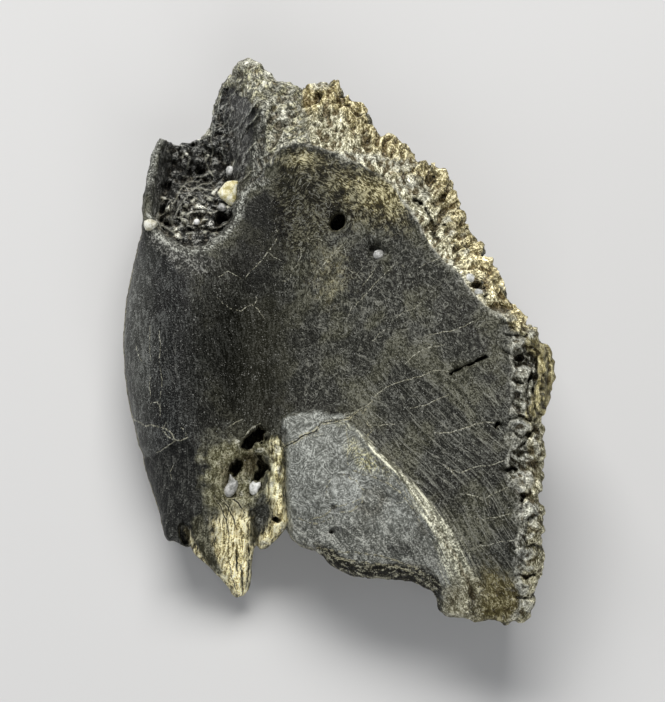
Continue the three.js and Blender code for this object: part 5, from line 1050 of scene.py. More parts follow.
# ------------------------------------------------------------------ materials
class Tree:
    """Short hand for building one material's nodes."""

    def __init__(self, name):
        self.mat = bpy.data.materials.new(name)
        self.mat.use_nodes = True
        self.t = self.mat.node_tree
        self.out = self.t.nodes["Principled BSDF"]

    def node(self, kind, **props):
        n = self.t.nodes.new(kind)
        for k, v in props.items():
            setattr(n, k, v)
        return n

    def plug(self, socket, value):
        if isinstance(value, bpy.types.NodeSocket):
            self.t.links.new(value, socket)
        else:
            socket.default_value = value

    def attr(self, name):
        n = self.node("ShaderNodeAttribute", attribute_name=name)
        return n.outputs["Color"], n.outputs["Alpha"], n.outputs["Vector"]

    def split(self, name):
        c, a, _ = self.attr(name)
        s = self.node("ShaderNodeSeparateColor")
        self.plug(s.inputs[0], c)
        return s.outputs[0], s.outputs[1], s.outputs[2], a

    def m(self, op, a, b=0.0, clamp=False):
        n = self.node("ShaderNodeMath", operation=op, use_clamp=clamp)
        self.plug(n.inputs[0], a)
        if op not in ("ABSOLUTE",):
            self.plug(n.inputs[1], b)
        return n.outputs[0]

    def add(self, a, b):
        return self.m("ADD", a, b)

    def sub(self, a, b):
        return self.m("SUBTRACT", a, b)

    def mul(self, a, b):
        return self.m("MULTIPLY", a, b)

    def step(self, x, lo, hi):
        """0 below lo, 1 above hi, smooth between; lo may be over hi."""
        n = self.node("ShaderNodeMapRange", interpolation_type="SMOOTHSTEP", clamp=True)
        flip = lo > hi
        self.plug(n.inputs["Value"], x)
        n.inputs["From Min"].default_value = min(lo, hi)
        n.inputs["From Max"].default_value = max(lo, hi)
        n.inputs["To Min"].default_value = 1.0 if flip else 0.0
        n.inputs["To Max"].default_value = 0.0 if flip else 1.0
        return n.outputs["Result"]

    def scale(self, v, by):
        n = self.node("ShaderNodeVectorMath", operation="MULTIPLY")
        self.plug(n.inputs[0], v)
        n.inputs[1].default_value = by
        return n.outputs[0]

    def vadd(self, a, b):
        n = self.node("ShaderNodeVectorMath", operation="ADD")
        self.plug(n.inputs[0], a)
        self.plug(n.inputs[1], b)
        return n.outputs[0]

    def noise(self, v, stretch=(1, 1, 1), detail=2.0, rough=0.5, warp=0.0):
        """Noise spread evenly about 0.5 with a deviation near 0.2."""
        at = self.scale(v, stretch)
        n = self.node("ShaderNodeTexNoise")
        self.plug(n.inputs["Vector"], at)
        n.inputs["Scale"].default_value = 1.0
        n.inputs["Detail"].default_value = detail
        n.inputs["Roughness"].default_value = rough
        n.inputs["Distortion"].default_value = warp
        sd = {0: 0.115, 1: 0.084, 2: 0.073, 3: 0.066}.get(int(detail), 0.06)
        g = 0.2 / sd
        r = self.node("ShaderNodeMath", operation="MULTIPLY_ADD")
        self.plug(r.inputs[0], n.outputs[0])
        r.inputs[1].default_value = g
        r.inputs[2].default_value = 0.5 - 0.5 * g
        return r.outputs[0]

    def raw(self, v, stretch=(1, 1, 1), detail=0.0, warp=0.0):
        at = self.scale(v, stretch)
        n = self.node("ShaderNodeTexNoise")
        self.plug(n.inputs["Vector"], at)
        n.inputs["Scale"].default_value = 1.0
        n.inputs["Detail"].default_value = detail
        n.inputs["Distortion"].default_value = warp
        return n.outputs

    def lines(self, v, stretch, turns, shift=(0, 0, 0), warp=0.0, detail=0.0):
        """Grain of thin bright lines along a noise's level curves, spread as noise() is."""
        base = self.raw(self.vadd(v, shift), stretch, detail, warp)[0]
        u = self.m("PINGPONG", self.mul(base, turns), 1.0)
        r = self.node("ShaderNodeValToRGB")
        e = r.color_ramp.elements
        spread = ((0, 0.04), (0.05, 0.171), (0.25, 0.365), (0.5, 0.5), (0.75, 0.635), (0.95, 0.829), (1.0, 0.96))
        while len(e) < len(spread):
            e.new(0.5)
        for k, (at, val) in enumerate(spread):
            e[k].position = at
            e[k].color = (val, val, val, 1)
        self.plug(r.inputs[0], u)
        return r.outputs[0]

    def sparse(self, v, stretch, turns, shift, lo=0.84, hi=0.97, warp=0.0):
        """1 along thin lines that follow a noise's level curves, 0 between them."""
        base = self.raw(self.vadd(v, shift), stretch, 0.0, warp)[0]
        return self.step(self.m("PINGPONG", self.mul(base, turns), 1.0), lo, hi)

    def tint(self, c, k, a):
        """Colour times k plus a."""
        n = self.node("ShaderNodeVectorMath", operation="MULTIPLY_ADD")
        self.plug(n.inputs[0], c)
        n.inputs[1].default_value = k if isinstance(k, tuple) else (k, k, k)
        n.inputs[2].default_value = (a, a, a)
        return n.outputs[0]

    def cells(self, v, stretch=(1, 1, 1), feature="F1", output=0):
        at = self.scale(v, stretch)
        n = self.node("ShaderNodeTexVoronoi", feature=feature)
        self.plug(n.inputs["Vector"], at)
        n.inputs["Scale"].default_value = 1.0
        return n.outputs[output]

    def comb(self, *pairs):
        """Weighted blend of evenly spread noises that keeps their spread."""
        s = math.sqrt(sum(w * w for w, _ in pairs))
        total = 0.5 - 0.5 * sum(w for w, _ in pairs) / s
        for w, n in pairs:
            r = self.node("ShaderNodeMath", operation="MULTIPLY_ADD")
            self.plug(r.inputs[0], n)
            r.inputs[1].default_value = w / s
            self.plug(r.inputs[2], total)
            total = r.outputs[0]
        return total

    def ragged(self, mask, n, k=0.5, gain=2.0):
        """Mask with its boundary broken up by noise n; 0 stays 0 and 1 stays 1."""
        band = self.mul(self.mul(mask, self.sub(1.0, mask)), 4.0 * k)
        x = self.add(mask, self.mul(self.sub(n, 0.5), band))
        return self.m("ADD", self.mul(self.sub(x, 0.5), max(1.0, gain)), 0.5, clamp=True)

    def mixc(self, f, a, b):
        n = self.node("ShaderNodeMix", data_type="RGBA")
        self.plug(n.inputs["Factor"], f)
        self.plug(n.inputs[6], a)
        self.plug(n.inputs[7], b)
        return n.outputs[2]

    def mixf(self, f, a, b):
        n = self.node("ShaderNodeMix", data_type="FLOAT")
        self.plug(n.inputs["Factor"], f)
        self.plug(n.inputs[2], a)
        self.plug(n.inputs[3], b)
        return n.outputs[0]

    def ramp(self, n, lums, dark=(1.0, 0.8), mid=(1.0, 0.8), bright=(1.0, 0.85), stops=(0.17, 0.366, 0.5, 0.634, 0.83)):
        """Five tones from dark to bright. Tints are (red, blue) against green."""
        r = self.node("ShaderNodeValToRGB")
        e = r.color_ramp.elements
        while len(e) < len(lums):
            e.new(0.5)
        tints = [dark, tuple((a + b) / 2 for a, b in zip(dark, mid)), mid, tuple((a + b) / 2 for a, b in zip(mid, bright)), bright]
        for k, lum in enumerate(lums):
            rg, bg = tints[k]
            g = lum / (0.2126 * rg + 0.7152 + 0.0722 * bg)
            e[k].position = stops[k]
            e[k].color = (g * rg, g, g * bg, 1)
        self.plug(r.inputs[0], n)
        return r.outputs[0]


def rgb(lum, rg, bg):
    g = lum / (0.2126 * rg + 0.7152 + 0.0722 * bg)
    return (g * rg, g, g * bg, 1)


T = Tree("fossil_bone")
tc = T.node("ShaderNodeTexCoord")
P = T.scale(tc.outputs["Object"], (1000, 1000, 1000))
peak, suture, corner_, rim_ = T.split("z2")
FP, FF, FS, FR = (T.attr("flow_" + k)[2] for k in ("plate", "flank", "suture", "ridge"))

nA = T.noise(P, (4.2, 4.2, 4.2), 2)
nB = T.noise(P, (6.6, 6.6, 6.6), 0)
nM = T.noise(P, (1.0, 1.0, 1.0), 2)
nL = T.noise(P, (0.20, 0.20, 0.20), 2)
nE = T.noise(T.vadd(P, (31.0, 17.0, 5.0)), (1.9, 1.9, 1.9), 3, 0.6)
nP = T.noise(FP, (0.22, 2.2, 0.5), 3, 0.6, 0.10)
nP2 = T.noise(T.vadd(FP, (9.0, 4.0, 2.0)), (0.7, 6.0, 1.0), 1)
nF = T.noise(FF, (0.35, 3.6, 0.9), 2, 0.5, 0.1)
nS = T.noise(FS, (0.55, 2.0, 0.9), 2, 0.55, 0.3)
nR = T.noise(FR, (0.28, 3.2, 0.8), 2)
# fibres: grain drawn out along three directions that bend and trade places
wv = T.raw(P, (0.55, 0.55, 0.55), 1.0)[1]
bend = T.scale(wv, (1.7, 1.7, 1.7))
fib1 = T.noise(T.vadd(FP, bend), (1.15, 4.4, 1.8), 1, 0.5, 0.25)
fib2 = T.noise(T.vadd(FF, bend), (1.25, 4.4, 1.8), 1, 0.5, 0.25)
fib3 = T.noise(T.vadd(P, bend), (1.25, 4.2, 4.2), 1, 0.5, 0.25)
sel1 = T.step(T.noise(T.vadd(P, (7.0, 3.0, 11.0)), (0.55, 0.55, 0.55), 1), 0.35, 0.65)
sel2 = T.step(T.noise(T.vadd(P, (17.0, 23.0, 1.0)), (0.60, 0.60, 0.60), 1), 0.35, 0.65)
fibA = T.mixf(sel1, fib1, fib3)
fibB = T.mixf(sel2, fib2, fib3)
fibC = T.mixf(sel1, fib1, fib2)
wv2 = T.raw(P, (1.5, 1.5, 1.5), 1.0)[1]
PW = T.vadd(P, T.scale(wv2, (0.9, 0.9, 0.9)))
nW = T.noise(PW, (2.0, 2.0, 2.0), 1, 0.5, 0.6)
vermic = T.step(T.m("ABSOLUTE", T.sub(nW, 0.5)), 0.10, 0.0)


BP = T.vadd(FP, bend)
BF = T.vadd(FF, T.scale(wv, (1.1, 1.1, 1.1)))
BO = T.vadd(P, bend)
lnP = T.lines(BP, (0.85, 2.1, 1.2), 6.0, (1.0, 4.0, 2.0))
lnO = T.lines(BO, (1.45, 1.45, 1.45), 6.0, (3.0, 1.0, 8.0))
lnS = T.lines(FP, (0.085, 1.25, 0.30), 5.0, (2.0, 7.0, 5.0), 0.2)
lnF = T.lines(BF, (0.28, 1.50, 0.8), 6.0, (5.0, 2.0, 1.0))
nQ = T.noise(T.vadd(P, T.scale(wv, (2.6, 2.6, 2.6))), (0.42, 0.42, 0.42), 2, 0.6)
lnC = T.lines(T.vadd(P, T.scale(wv, (2.4, 2.4, 2.4))), (0.34, 0.34, 0.34), 24.0, (8.0, 3.0, 4.0), 0.3)
lnD = T.lines(FR, (0.10, 1.3, 0.4), 5.0, (2.0, 5.0, 1.0), 0.25)
lnR = T.lines(FS, (0.8, 0.25, 0.8), 8.0, (1.0, 1.0, 3.0), 0.3)
lnM = T.mixf(sel1, lnP, lnO)
BS = T.vadd(FS, bend)
BE = T.vadd(FS, T.scale(wv, (0.8, 0.8, 0.8)))
lnE = T.lines(BE, (2.2, 0.62, 1.0), 6.0, (7.0, 4.0, 1.0))
fibE = T.noise(T.vadd(BE, (5.0, 1.0, 9.0)), (6.0, 1.6, 2.4), 1, 0.5, 0.25)

# crisp light lines: short curved ones everywhere, long ones down the striated part
gate = T.step(nM, 0.25, 0.60)
gate2 = T.step(nM, 0.75, 0.40)
spark = T.mul(T.m("MAXIMUM", T.sparse(BO, (0.85, 0.85, 0.85), 4.0, (1.0, 9.0, 4.0), 0.86, 0.97), T.sparse(BP, (0.45, 1.15, 0.7), 4.0, (6.0, 2.0, 3.0), 0.86, 0.97)), gate)
spark2 = T.mul(T.sparse(BO, (1.25, 1.25, 1.25), 3.6, (4.0, 3.0, 9.0), 0.84, 0.96), gate2)
fold_dark = T.m("MAXIMUM", T.sparse(BO, (0.80, 0.80, 0.80), 3.0, (9.0, 5.0, 2.0), 0.84, 0.97), T.mul(T.sparse(T.vadd(FS, bend), (0.5, 1.2, 0.8), 3.6, (2.0, 2.0, 6.0), 0.82, 0.96), gate))
flank_spark = T.mul(T.sparse(BF, (0.28, 1.25, 0.7), 4.0, (3.0, 6.0, 2.0), 0.86, 0.97), gate)
run = T.noise(FP, (0.35, 1.5, 0.6), 1)
long_spark = T.mul(T.sparse(FP, (0.075, 1.20, 0.30), 5.0, (2.0, 7.0, 5.0), 0.86, 0.97, 0.10), T.step(run, 0.22, 0.62))
long_spark = T.m("MAXIMUM", long_spark, T.mul(T.sparse(FP, (0.13, 1.7, 0.40), 4.5, (6.0, 1.0, 8.0), 0.87, 0.98, 0.2), T.step(run, 0.78, 0.42)))

# ---- tones. Each zone runs through five tones picked by its own grain
hairA = T.noise(T.vadd(BP, (3.0, 8.0, 5.0)), (1.5, 8.5, 4.0), 0)
hairB = T.noise(T.vadd(BF, (1.0, 6.0, 7.0)), (1.5, 8.5, 4.0), 0)
hair = T.mixf(sel2, hairA, hairB)
plain_n = T.comb((0.60, lnM), (0.35, fibA), (0.32, nA), (0.22, nB), (0.50, hair), (0.22, nQ), (0.25, nL))
bits, wall, lowlip, striae = T.split("z7")
plate_n = T.mixf(striae, plain_n, T.comb((0.45, nA), (0.50, nB), (0.45, lnS), (0.35, nP), (0.40, lnP), (0.25, fib1), (0.22, nL)))
col = T.ramp(plate_n, (0.010, 0.021, 0.036, 0.062, 0.135), (1.0, 0.76), (0.99, 0.80), (0.99, 0.87))
olive_tone = T.ramp(plate_n, (0.013, 0.027, 0.045, 0.074, 0.150), (1.0, 0.60), (1.01, 0.66), (1.01, 0.76))
col = T.mixc(T.step(nL, 0.42, 0.78), col, olive_tone)
rough = T.mixf(nA, 0.50, 0.38)
valley, pad, gold, spall = T.split("z3")
brown, outer, edge_, band = T.split("z6")
spec = T.mixf(T.m("MAXIMUM", valley, brown), 0.16, 0.05)


def layer(mask, tone, r=None):
    global col, rough
    col = T.mixc(mask, col, tone)
    if r is not None:
        rough = T.mixf(mask, rough, r)


flank_n = T.comb((0.45, nA), (0.30, nF), (0.55, lnF), (0.55, nB), (0.25, nL))
flank_tone = T.ramp(flank_n, (0.003, 0.007, 0.012, 0.024, 0.080), (0.96, 0.90), (0.95, 0.93), (0.96, 0.95))
side_, under, olive, flank_ = T.split("z4")
layer(flank_, flank_tone, 0.33)
pegs, groove, painted_limb_sheen, dimmer = T.split("z9")
# painted sheen lightens the flank near its left limb
layer(T.mul(painted_limb_sheen, 0.75), T.ramp(flank_n, (0.027, 0.047, 0.070, 0.104, 0.22), (0.97, 0.84), (0.96, 0.88), (0.97, 0.92)), 0.40)
valley_n = T.comb((0.45, nA), (0.25, nF), (0.55, nB), (0.55, lnF), (0.22, nQ))
layer(T.m("MULTIPLY", valley, 0.95), T.ramp(valley_n, (0.002, 0.0045, 0.008, 0.014, 0.034), (0.99, 0.76), (0.99, 0.80), (0.98, 0.90)), 0.46)
holldark, golden, dusk, slate = T.split("zb")
layer(T.mul(T.m("MAXIMUM", brown, T.mul(dusk, 0.5)), 0.8), T.ramp(valley_n, (0.008, 0.013, 0.019, 0.029, 0.060), (1.02, 0.56), (1.01, 0.66), (1.0, 0.82)), 0.52)
hairE = T.noise(T.vadd(BE, (2.0, 9.0, 4.0)), (8.5, 1.6, 4.0), 0)
pad_n = T.comb((0.28, nA), (0.50, fibE), (0.50, lnE), (0.20, nB), (0.50, hairE), (0.25, lnM), (0.45, nQ), (0.2, nM))
layer(T.ragged(pad, nM, 0.5, 1.2), T.ramp(pad_n, (0.0042, 0.0105, 0.0200, 0.041, 0.124), (1.14, 0.40), (1.08, 0.52), (1.04, 0.68)), 0.50)
gold_n = T.comb((0.26, nA), (0.60, fibE), (0.50, lnE), (0.22, nB), (0.50, hairE), (0.45, nQ), (0.30, nM))
layer(T.ragged(gold, nM, 0.6, 1.1), T.ramp(gold_n, (0.024, 0.062, 0.118, 0.23, 0.60), (1.26, 0.28), (1.17, 0.42), (1.08, 0.62)), 0.60)
hair_tone = T.mixc(nA, rgb(0.12, 1.0, 0.80), rgb(0.26, 1.0, 0.86))
hair_tone = T.mixc(gold, hair_tone, rgb(0.48, 1.10, 0.56))
layer(T.mul(dusk, 0.85), T.tint(col, 0.36, 0.0))
plate_, slotpit, front_, out_ = T.split("z8")
layer(T.mul(T.mul(T.m("MAXIMUM", spark, spark2), plate_), T.mixf(striae, 0.70, 0.42)), hair_tone)
layer(T.mul(T.mul(long_spark, striae), 0.72), T.tint(hair_tone, 1.20, 0.0))
layer(T.mul(T.mul(flank_spark, flank_), 0.55), rgb(0.11, 0.98, 0.90))

crust_n = T.comb((0.40, nA), (0.4, fibB), (0.6, lnO), (0.25, nB), (0.45, hair), (0.30, nM))
ridge_, lip_, white, crust_ = T.split("z5")
layer(T.ragged(crust_, nE, 0.8, 1.6), T.ramp(crust_n, (0.012, 0.024, 0.042, 0.080, 0.22), (1.0, 0.82), (1.0, 0.87), (1.0, 0.90)), 0.6)
spall_n = T.comb((0.7, nA), (0.5, nF), (0.5, nM))
layer(T.mul(spall, 0.9), T.ramp(spall_n, (0.003, 0.006, 0.011, 0.022, 0.060), (0.97, 0.82), (0.97, 0.84), (0.98, 0.88)), 0.50)

lnW = T.lines(T.vadd(P, T.scale(wv, (1.6, 1.6, 1.6))), (0.50, 0.50, 0.50), 18.0, (2.0, 6.0, 1.0), 0.2)
lobe_n = T.comb((0.22, nA), (0.26, nB), (0.26, nQ), (0.25, lnC), (0.62, lnW), (0.50, lnO), (0.20, fibB), (0.26, hair))
lobe_tone = T.ramp(lobe_n, (0.088, 0.152, 0.204, 0.262, 0.42), (0.965, 0.88), (0.96, 0.905), (0.97, 0.92))
low_tone = T.ramp(T.comb((0.40, nA), (0.5, nB), (0.40, nQ), (0.25, lnC), (0.50, lnO), (0.65, lnD)), (0.042, 0.092, 0.142, 0.210, 0.40), (0.97, 0.84), (0.98, 0.87), (0.99, 0.89))
shade, pale, straw, rlow = T.split("za")
lobe_tone = T.mixc(T.mul(shade, 0.85), lobe_tone, low_tone)
hollight, painted_lobe_shade, fangy, goldcol = T.split("zc")
# the lobe's tone darkens in the patches of painted shade
lobe_tone = T.mixc(T.mul(T.ragged(painted_lobe_shade, nM, 1.0, 1.3), 0.9), lobe_tone, T.tint(lobe_tone, 0.42, 0.0))
lobe_tone = T.mixc(T.mul(T.ragged(pale, nM, 0.6, 1.6), 0.8), lobe_tone, T.ramp(lobe_n, (0.145, 0.215, 0.272, 0.335, 0.47), (0.965, 0.90), (0.965, 0.92), (0.97, 0.93)))
lobe_tone = T.mixc(T.mul(straw, T.step(nA, 0.15, 0.75)), lobe_tone, T.ramp(lobe_n, (0.09, 0.17, 0.26, 0.37, 0.60), (1.08, 0.46), (1.05, 0.54), (1.03, 0.64)))
bevel, lobe, creamy, hollow = T.split("z1")
layer(T.ragged(lobe, nE, 0.75, 1.5), lobe_tone, 0.48)

olive_n = T.comb((0.40, nM), (0.40, nA), (0.45, nB), (0.35, fib2), (0.60, lnF))
layer(T.ragged(olive, nM, 0.6, 1.1), T.ramp(olive_n, (0.041, 0.081, 0.130, 0.192, 0.36), (1.08, 0.44), (1.05, 0.56), (1.03, 0.70)), 0.62)
cream_n = T.comb((0.50, nF), (0.35, nA), (0.40, nM), (0.40, nB), (0.45, fib2), (0.70, lnF))
cream_tone = T.ramp(cream_n, (0.15, 0.52, 0.88, 1.0, 1.0), (1.22, 0.42), (1.12, 0.57), (1.055, 0.70))
cream_tone = T.mixc(fangy, T.tint(cream_tone, 0.74, 0.0), cream_tone)
lowgold, rimd, sdark, strip = T.split("ze")
cream_tone = T.mixc(T.mul(strip, T.sub(1.0, fangy)), cream_tone, T.mixc(T.step(nM, 0.30, 0.70), T.tint(cream_tone, (0.60, 0.61, 0.56), 0.0), T.tint(cream_tone, (1.15, 1.18, 1.2), 0.0)))
layer(T.ragged(creamy, T.comb((1.0, fib2), (0.7, nF), (0.6, nM)), 0.95, 1.0), cream_tone, 0.62)
layer(T.mul(T.ragged(sdark, nM, 0.9, 1.2), 0.72), T.tint(col, (0.32, 0.25, 0.16), 0.003))
layer(T.mul(slate, 0.9), T.ramp(olive_n, (0.030, 0.060, 0.095, 0.150, 0.30), (0.98, 0.84), (0.98, 0.88), (0.98, 0.90)), 0.5)
layer(T.ragged(band, nM, 0.4, 1.4), T.ramp(olive_n, (0.026, 0.042, 0.062, 0.10, 0.24), (1.04, 0.58), (1.03, 0.64), (1.03, 0.72)), 0.5)
ridge_n = T.mixf(rlow, T.comb((1.0, nR), (0.5, nA), (0.3, nM), (0.3, nB)), T.comb((0.30, nR), (0.7, nE), (0.6, nA), (0.4, nB), (0.5, lnO)))
layer(T.ragged(ridge_, nR, 0.75, 1.5), T.ramp(ridge_n, (0.09, 0.17, 0.26, 0.42, 0.80), (1.02, 0.68), (1.01, 0.74), (1.01, 0.79)), 0.55)
corner_n = T.comb((0.32, nA), (0.60, fibC), (0.30, nM), (0.35, lnM), (0.30, nB), (0.45, hair), (0.35, nQ))
near_, wide_, broad_, mustard = T.split("zd")
corner_tone = T.mixc(mustard, T.ramp(corner_n, (0.065, 0.115, 0.175, 0.265, 0.50), (1.12, 0.54), (1.07, 0.64), (1.04, 0.75)), T.ramp(corner_n, (0.038, 0.062, 0.090, 0.135, 0.28), (1.24, 0.30), (1.18, 0.40), (1.10, 0.58)))
layer(T.ragged(corner_, nM, 0.6, 1.0), corner_tone, 0.66)

sut_n = T.comb((0.5, nS), (0.36, nA), (0.15, nE), (0.40, lnO), (0.25, nB), (0.50, hair), (0.50, fibC))
inner_tone = T.ramp(sut_n, (0.025, 0.069, 0.138, 0.24, 0.48), (1.04, 0.62), (1.01, 0.76), (1.0, 0.86))
outer_tone = T.ramp(sut_n, (0.060, 0.125, 0.22, 0.36, 0.62), (1.14, 0.44), (1.07, 0.62), (1.05, 0.74))
layer(T.ragged(suture, nE, 0.35, 2.0), inner_tone, 0.68)
layer(T.ragged(outer, nE, 0.5, 2.0), outer_tone)
col_n = T.comb((0.9, T.lines(BE, (1.0, 0.16, 0.5), 5.0, (3.0, 3.0, 3.0))), (0.6, fibE), (0.35, nA), (0.35, nB))
layer(T.mul(goldcol, 0.85), T.ramp(col_n, (0.075, 0.135, 0.20, 0.30, 0.50), (1.24, 0.32), (1.18, 0.40), (1.11, 0.55)), 0.62)
peg_n = T.comb((0.45, nA), (0.4, nB), (0.4, nE), (0.9, T.lines(T.vadd(FS, bend), (0.35, 1.6, 0.8), 5.0)))
layer(T.m("MULTIPLY", T.step(pegs, 0.10, 0.90), 0.85), T.ramp(peg_n, (0.07, 0.15, 0.23, 0.34, 0.60), (1.0, 0.82), (0.99, 0.88), (0.99, 0.90)), 0.55)
shell_edge = T.mul(T.mul(T.step(pegs, 0.03, 0.22), T.step(pegs, 0.72, 0.40)), T.step(nM, 0.15, 0.60))
layer(T.mul(shell_edge, 0.62), T.ramp(nA, (0.17, 0.28, 0.40, 0.52, 0.70), (1.02, 0.76), (1.01, 0.82), (1.0, 0.88)))
fibS = T.noise(T.vadd(FS, bend), (1.2, 4.0, 1.8), 1, 0.5, 0.3)
lnB = T.lines(T.vadd(FS, bend), (0.45, 1.35, 0.8), 5.0, (4.0, 2.0, 1.0))
bevel_n = T.comb((0.30, nS), (0.30, nA), (0.20, nQ), (0.25, nB), (0.48, hair), (0.70, T.mixf(sel2, fibS, fibC)), (0.45, T.mixf(sel1, lnB, lnO)))
bevel_tone = T.mixc(golden, T.ramp(bevel_n, (0.075, 0.17, 0.30, 0.46, 0.80), (1.10, 0.52), (1.05, 0.66), (1.03, 0.78)), T.ramp(bevel_n, (0.052, 0.130, 0.235, 0.365, 0.73), (1.30, 0.30), (1.20, 0.44), (1.10, 0.64)))
bevel_tone = T.mixc(lowgold, bevel_tone, T.tint(bevel_tone, 1.42, 0.02))
layer(T.ragged(bevel, nE, 0.35, 2.2), bevel_tone, 0.70)
peak_n = T.comb((0.15, nE), (0.30, nA), (0.25, nB), (0.50, hair), (0.75, fibB), (0.30, nQ), (0.45, lnO))
peak_tone = T.ramp(peak_n, (0.050, 0.13, 0.24, 0.37, 0.62), (1.0, 0.72), (1.01, 0.80), (1.01, 0.83))
dim_tone = T.ramp(peak_n, (0.020, 0.050, 0.095, 0.160, 0.32), (0.99, 0.78), (0.99, 0.83), (0.99, 0.86))
peak_tone = T.mixc(T.mul(T.step(nM, 0.40, 0.75), 0.8), peak_tone, T.tint(peak_tone, (1.05, 1.02, 0.80), 0.0))
layer(T.ragged(peak, nE, 0.4, 2.0), T.mixc(dimmer, peak_tone, dim_tone), 0.56)
layer(T.ragged(wall, nE, 0.5, 2.0), T.ramp(T.comb((0.35, nA), (0.4, nF), (0.4, hair), (0.5, nM), (0.9, nQ)), (0.0025, 0.008, 0.028, 0.100, 0.30), (0.98, 0.80), (0.98, 0.84), (0.99, 0.88)), 0.45)
side_n = T.comb((0.8, nS), (0.6, nA), (0.4, nE))
layer(T.ragged(side_, nA, 0.3, 1.8), T.ramp(side_n, (0.030, 0.065, 0.115, 0.19, 0.36), (1.12, 0.46), (1.08, 0.60), (1.05, 0.72)), 0.70)
under_n = T.comb((0.6, nA), (0.6, nM), (0.6, nL), (0.3, nB))
layer(T.ragged(under, nA, 0.3, 1.8), T.ramp(under_n, (0.018, 0.032, 0.052, 0.080, 0.16), (1.03, 0.68), (1.02, 0.74), (1.01, 0.82)), 0.48)

hol_n = T.comb((0.40, nE), (0.35, nA), (0.40, nB), (0.45, nM), (0.55, lnO))
layer(T.ragged(hollow, nA, 0.3, 2.0), T.ramp(hol_n, (0.006, 0.014, 0.035, 0.090, 0.36), (0.98, 0.84), (0.98, 0.90), (1.0, 0.92)), 0.40)
layer(T.m("MULTIPLY", holldark, 0.7), T.tint(col, 0.72, 0.007), 0.26)
layer(T.mul(T.ragged(hollight, nE, 0.9, 1.3), 0.60), T.tint(col, 2.5, 0.040), 0.34)
bit_tone = T.mixc(T.step(bits, 0.30, 0.85), rgb(0.38, 1.01, 0.82), rgb(0.92, 1.005, 0.88))
layer(T.m("MULTIPLY", T.step(bits, 0.08, 0.34), T.step(nA, 0.10, 0.42)), bit_tone, 0.55)
lip_n = T.comb((0.5, nA), (0.4, nB), (0.9, lnR), (0.4, nE))
leaf = T.m("PINGPONG", T.add(T.mul(rimd, 8.5), T.add(T.mul(T.sub(nM, 0.5), 0.8), T.mul(T.sub(nQ, 0.5), 2.4))), 1.0)
layer(T.ragged(lowlip, nM, 0.5, 1.3), T.ramp(T.comb((0.85, T.add(T.mul(leaf, 0.66), 0.17)), (0.5, nA), (0.5, nB), (0.45, nE), (0.4, nM)), (0.003, 0.008, 0.020, 0.054, 0.29), (1.12, 0.50), (1.08, 0.60), (1.03, 0.74)), 0.6)
rim_n = T.comb((0.38, nA), (0.25, nE), (0.25, nB), (0.42, hair), (0.3, nM), (0.75, lnO), (0.3, fibB))
layer(T.mul(T.ragged(rim_, nE, 0.75, 1.3), 0.9), T.ramp(rim_n, (0.02, 0.065, 0.135, 0.24, 0.46), (0.99, 0.80), (0.99, 0.87), (0.98, 0.89)), 0.56)
layer(T.mul(T.ragged(white, nE, 0.9, 1.4), 0.75), T.ramp(peak_n, (0.09, 0.22, 0.36, 0.50, 0.72), (1.03, 0.74), (1.02, 0.80), (1.0, 0.86)))
layer(T.mul(T.ragged(lip_, nM, 1.0, 1.3), 0.70), T.ramp(nA, (0.16, 0.26, 0.36, 0.46, 0.60), (1.01, 0.8), (1.01, 0.84), (1.0, 0.88)))
layer(T.mul(T.ragged(edge_, nM, 1.3, 1.2), 0.50), T.ramp(nA, (0.10, 0.19, 0.28, 0.38, 0.52), (1.01, 0.8), (1.01, 0.84), (1.0, 0.88)))
layer(T.mul(groove, T.mixf(nA, 0.95, 0.6)), rgb(0.022, 1.05, 0.60))

# painted shade where the relief sinks below its surroundings and painted highlights where it stands out, the bright and
# dark edges of the crumpled, fibrous parts; then dark fold lines and crisp bright lines over them
broken = T.m("MAXIMUM", T.m("MAXIMUM", bevel, peak), T.m("MAXIMUM", suture, T.m("MAXIMUM", corner_, side_)))
some = T.m("MAXIMUM", broken, T.mul(T.m("MAXIMUM", T.m("MAXIMUM", lobe, creamy), T.m("MAXIMUM", olive, T.m("MAXIMUM", crust_, ridge_))), 0.55))
some = T.mul(some, T.sub(1.0, T.mul(hollow, 0.5)))
relief_shading = T.m("MAXIMUM", broken, T.m("MAXIMUM", T.m("MAXIMUM", T.mul(hollow, 0.75), T.mul(rim_, 0.6)), T.mul(T.m("MAXIMUM", creamy, T.m("MAXIMUM", T.mul(crust_, 0.5), ridge_)), 0.7)))
relief_shading = T.m("MAXIMUM", relief_shading, T.mul(T.m("MAXIMUM", lobe, olive), 0.35))
relief_shading = T.mul(relief_shading, T.sub(1.0, T.mul(peak, 0.25)))
# painted shade in the hollows of the relief, painted highlights on its crests
layer(T.mul(T.mul(T.step(wide_, 0.44, 0.06), relief_shading), 0.80), T.tint(col, (0.42, 0.36, 0.27), 0.0))
layer(T.mul(T.mul(T.step(near_, 0.42, 0.10), relief_shading), 0.60), T.tint(col, (0.48, 0.43, 0.36), 0.0))
layer(T.mul(T.mul(T.step(T.add(wide_, T.mul(T.sub(nB, 0.5), 0.20)), 0.58, 0.92), relief_shading), 0.80), T.tint(col, 1.28, 0.010))
layer(T.mul(T.mul(T.step(T.add(near_, T.mul(T.sub(nB, 0.5), 0.20)), 0.62, 0.88), relief_shading), 0.60), T.tint(col, 1.30, 0.020))
layer(T.mul(T.mul(fold_dark, broken), 0.50), T.tint(col, 0.25, 0.0))
layer(T.mul(T.mul(fold_dark, T.m("MAXIMUM", T.m("MAXIMUM", lobe, creamy), plate_)), 0.40), T.tint(col, 0.45, 0.0))
layer(T.mul(T.mul(T.m("MAXIMUM", spark, spark2), some), 0.60), T.tint(col, 1.8, 0.12))

# specks of painted glint: pale points standing in for tiny facets that catch the light
painted_glints = T.mul(T.step(nB, 0.88, 0.98), T.step(nM, 0.45, 0.70))
layer(T.mul(painted_glints, 0.7), rgb(0.34, 1.0, 0.93))

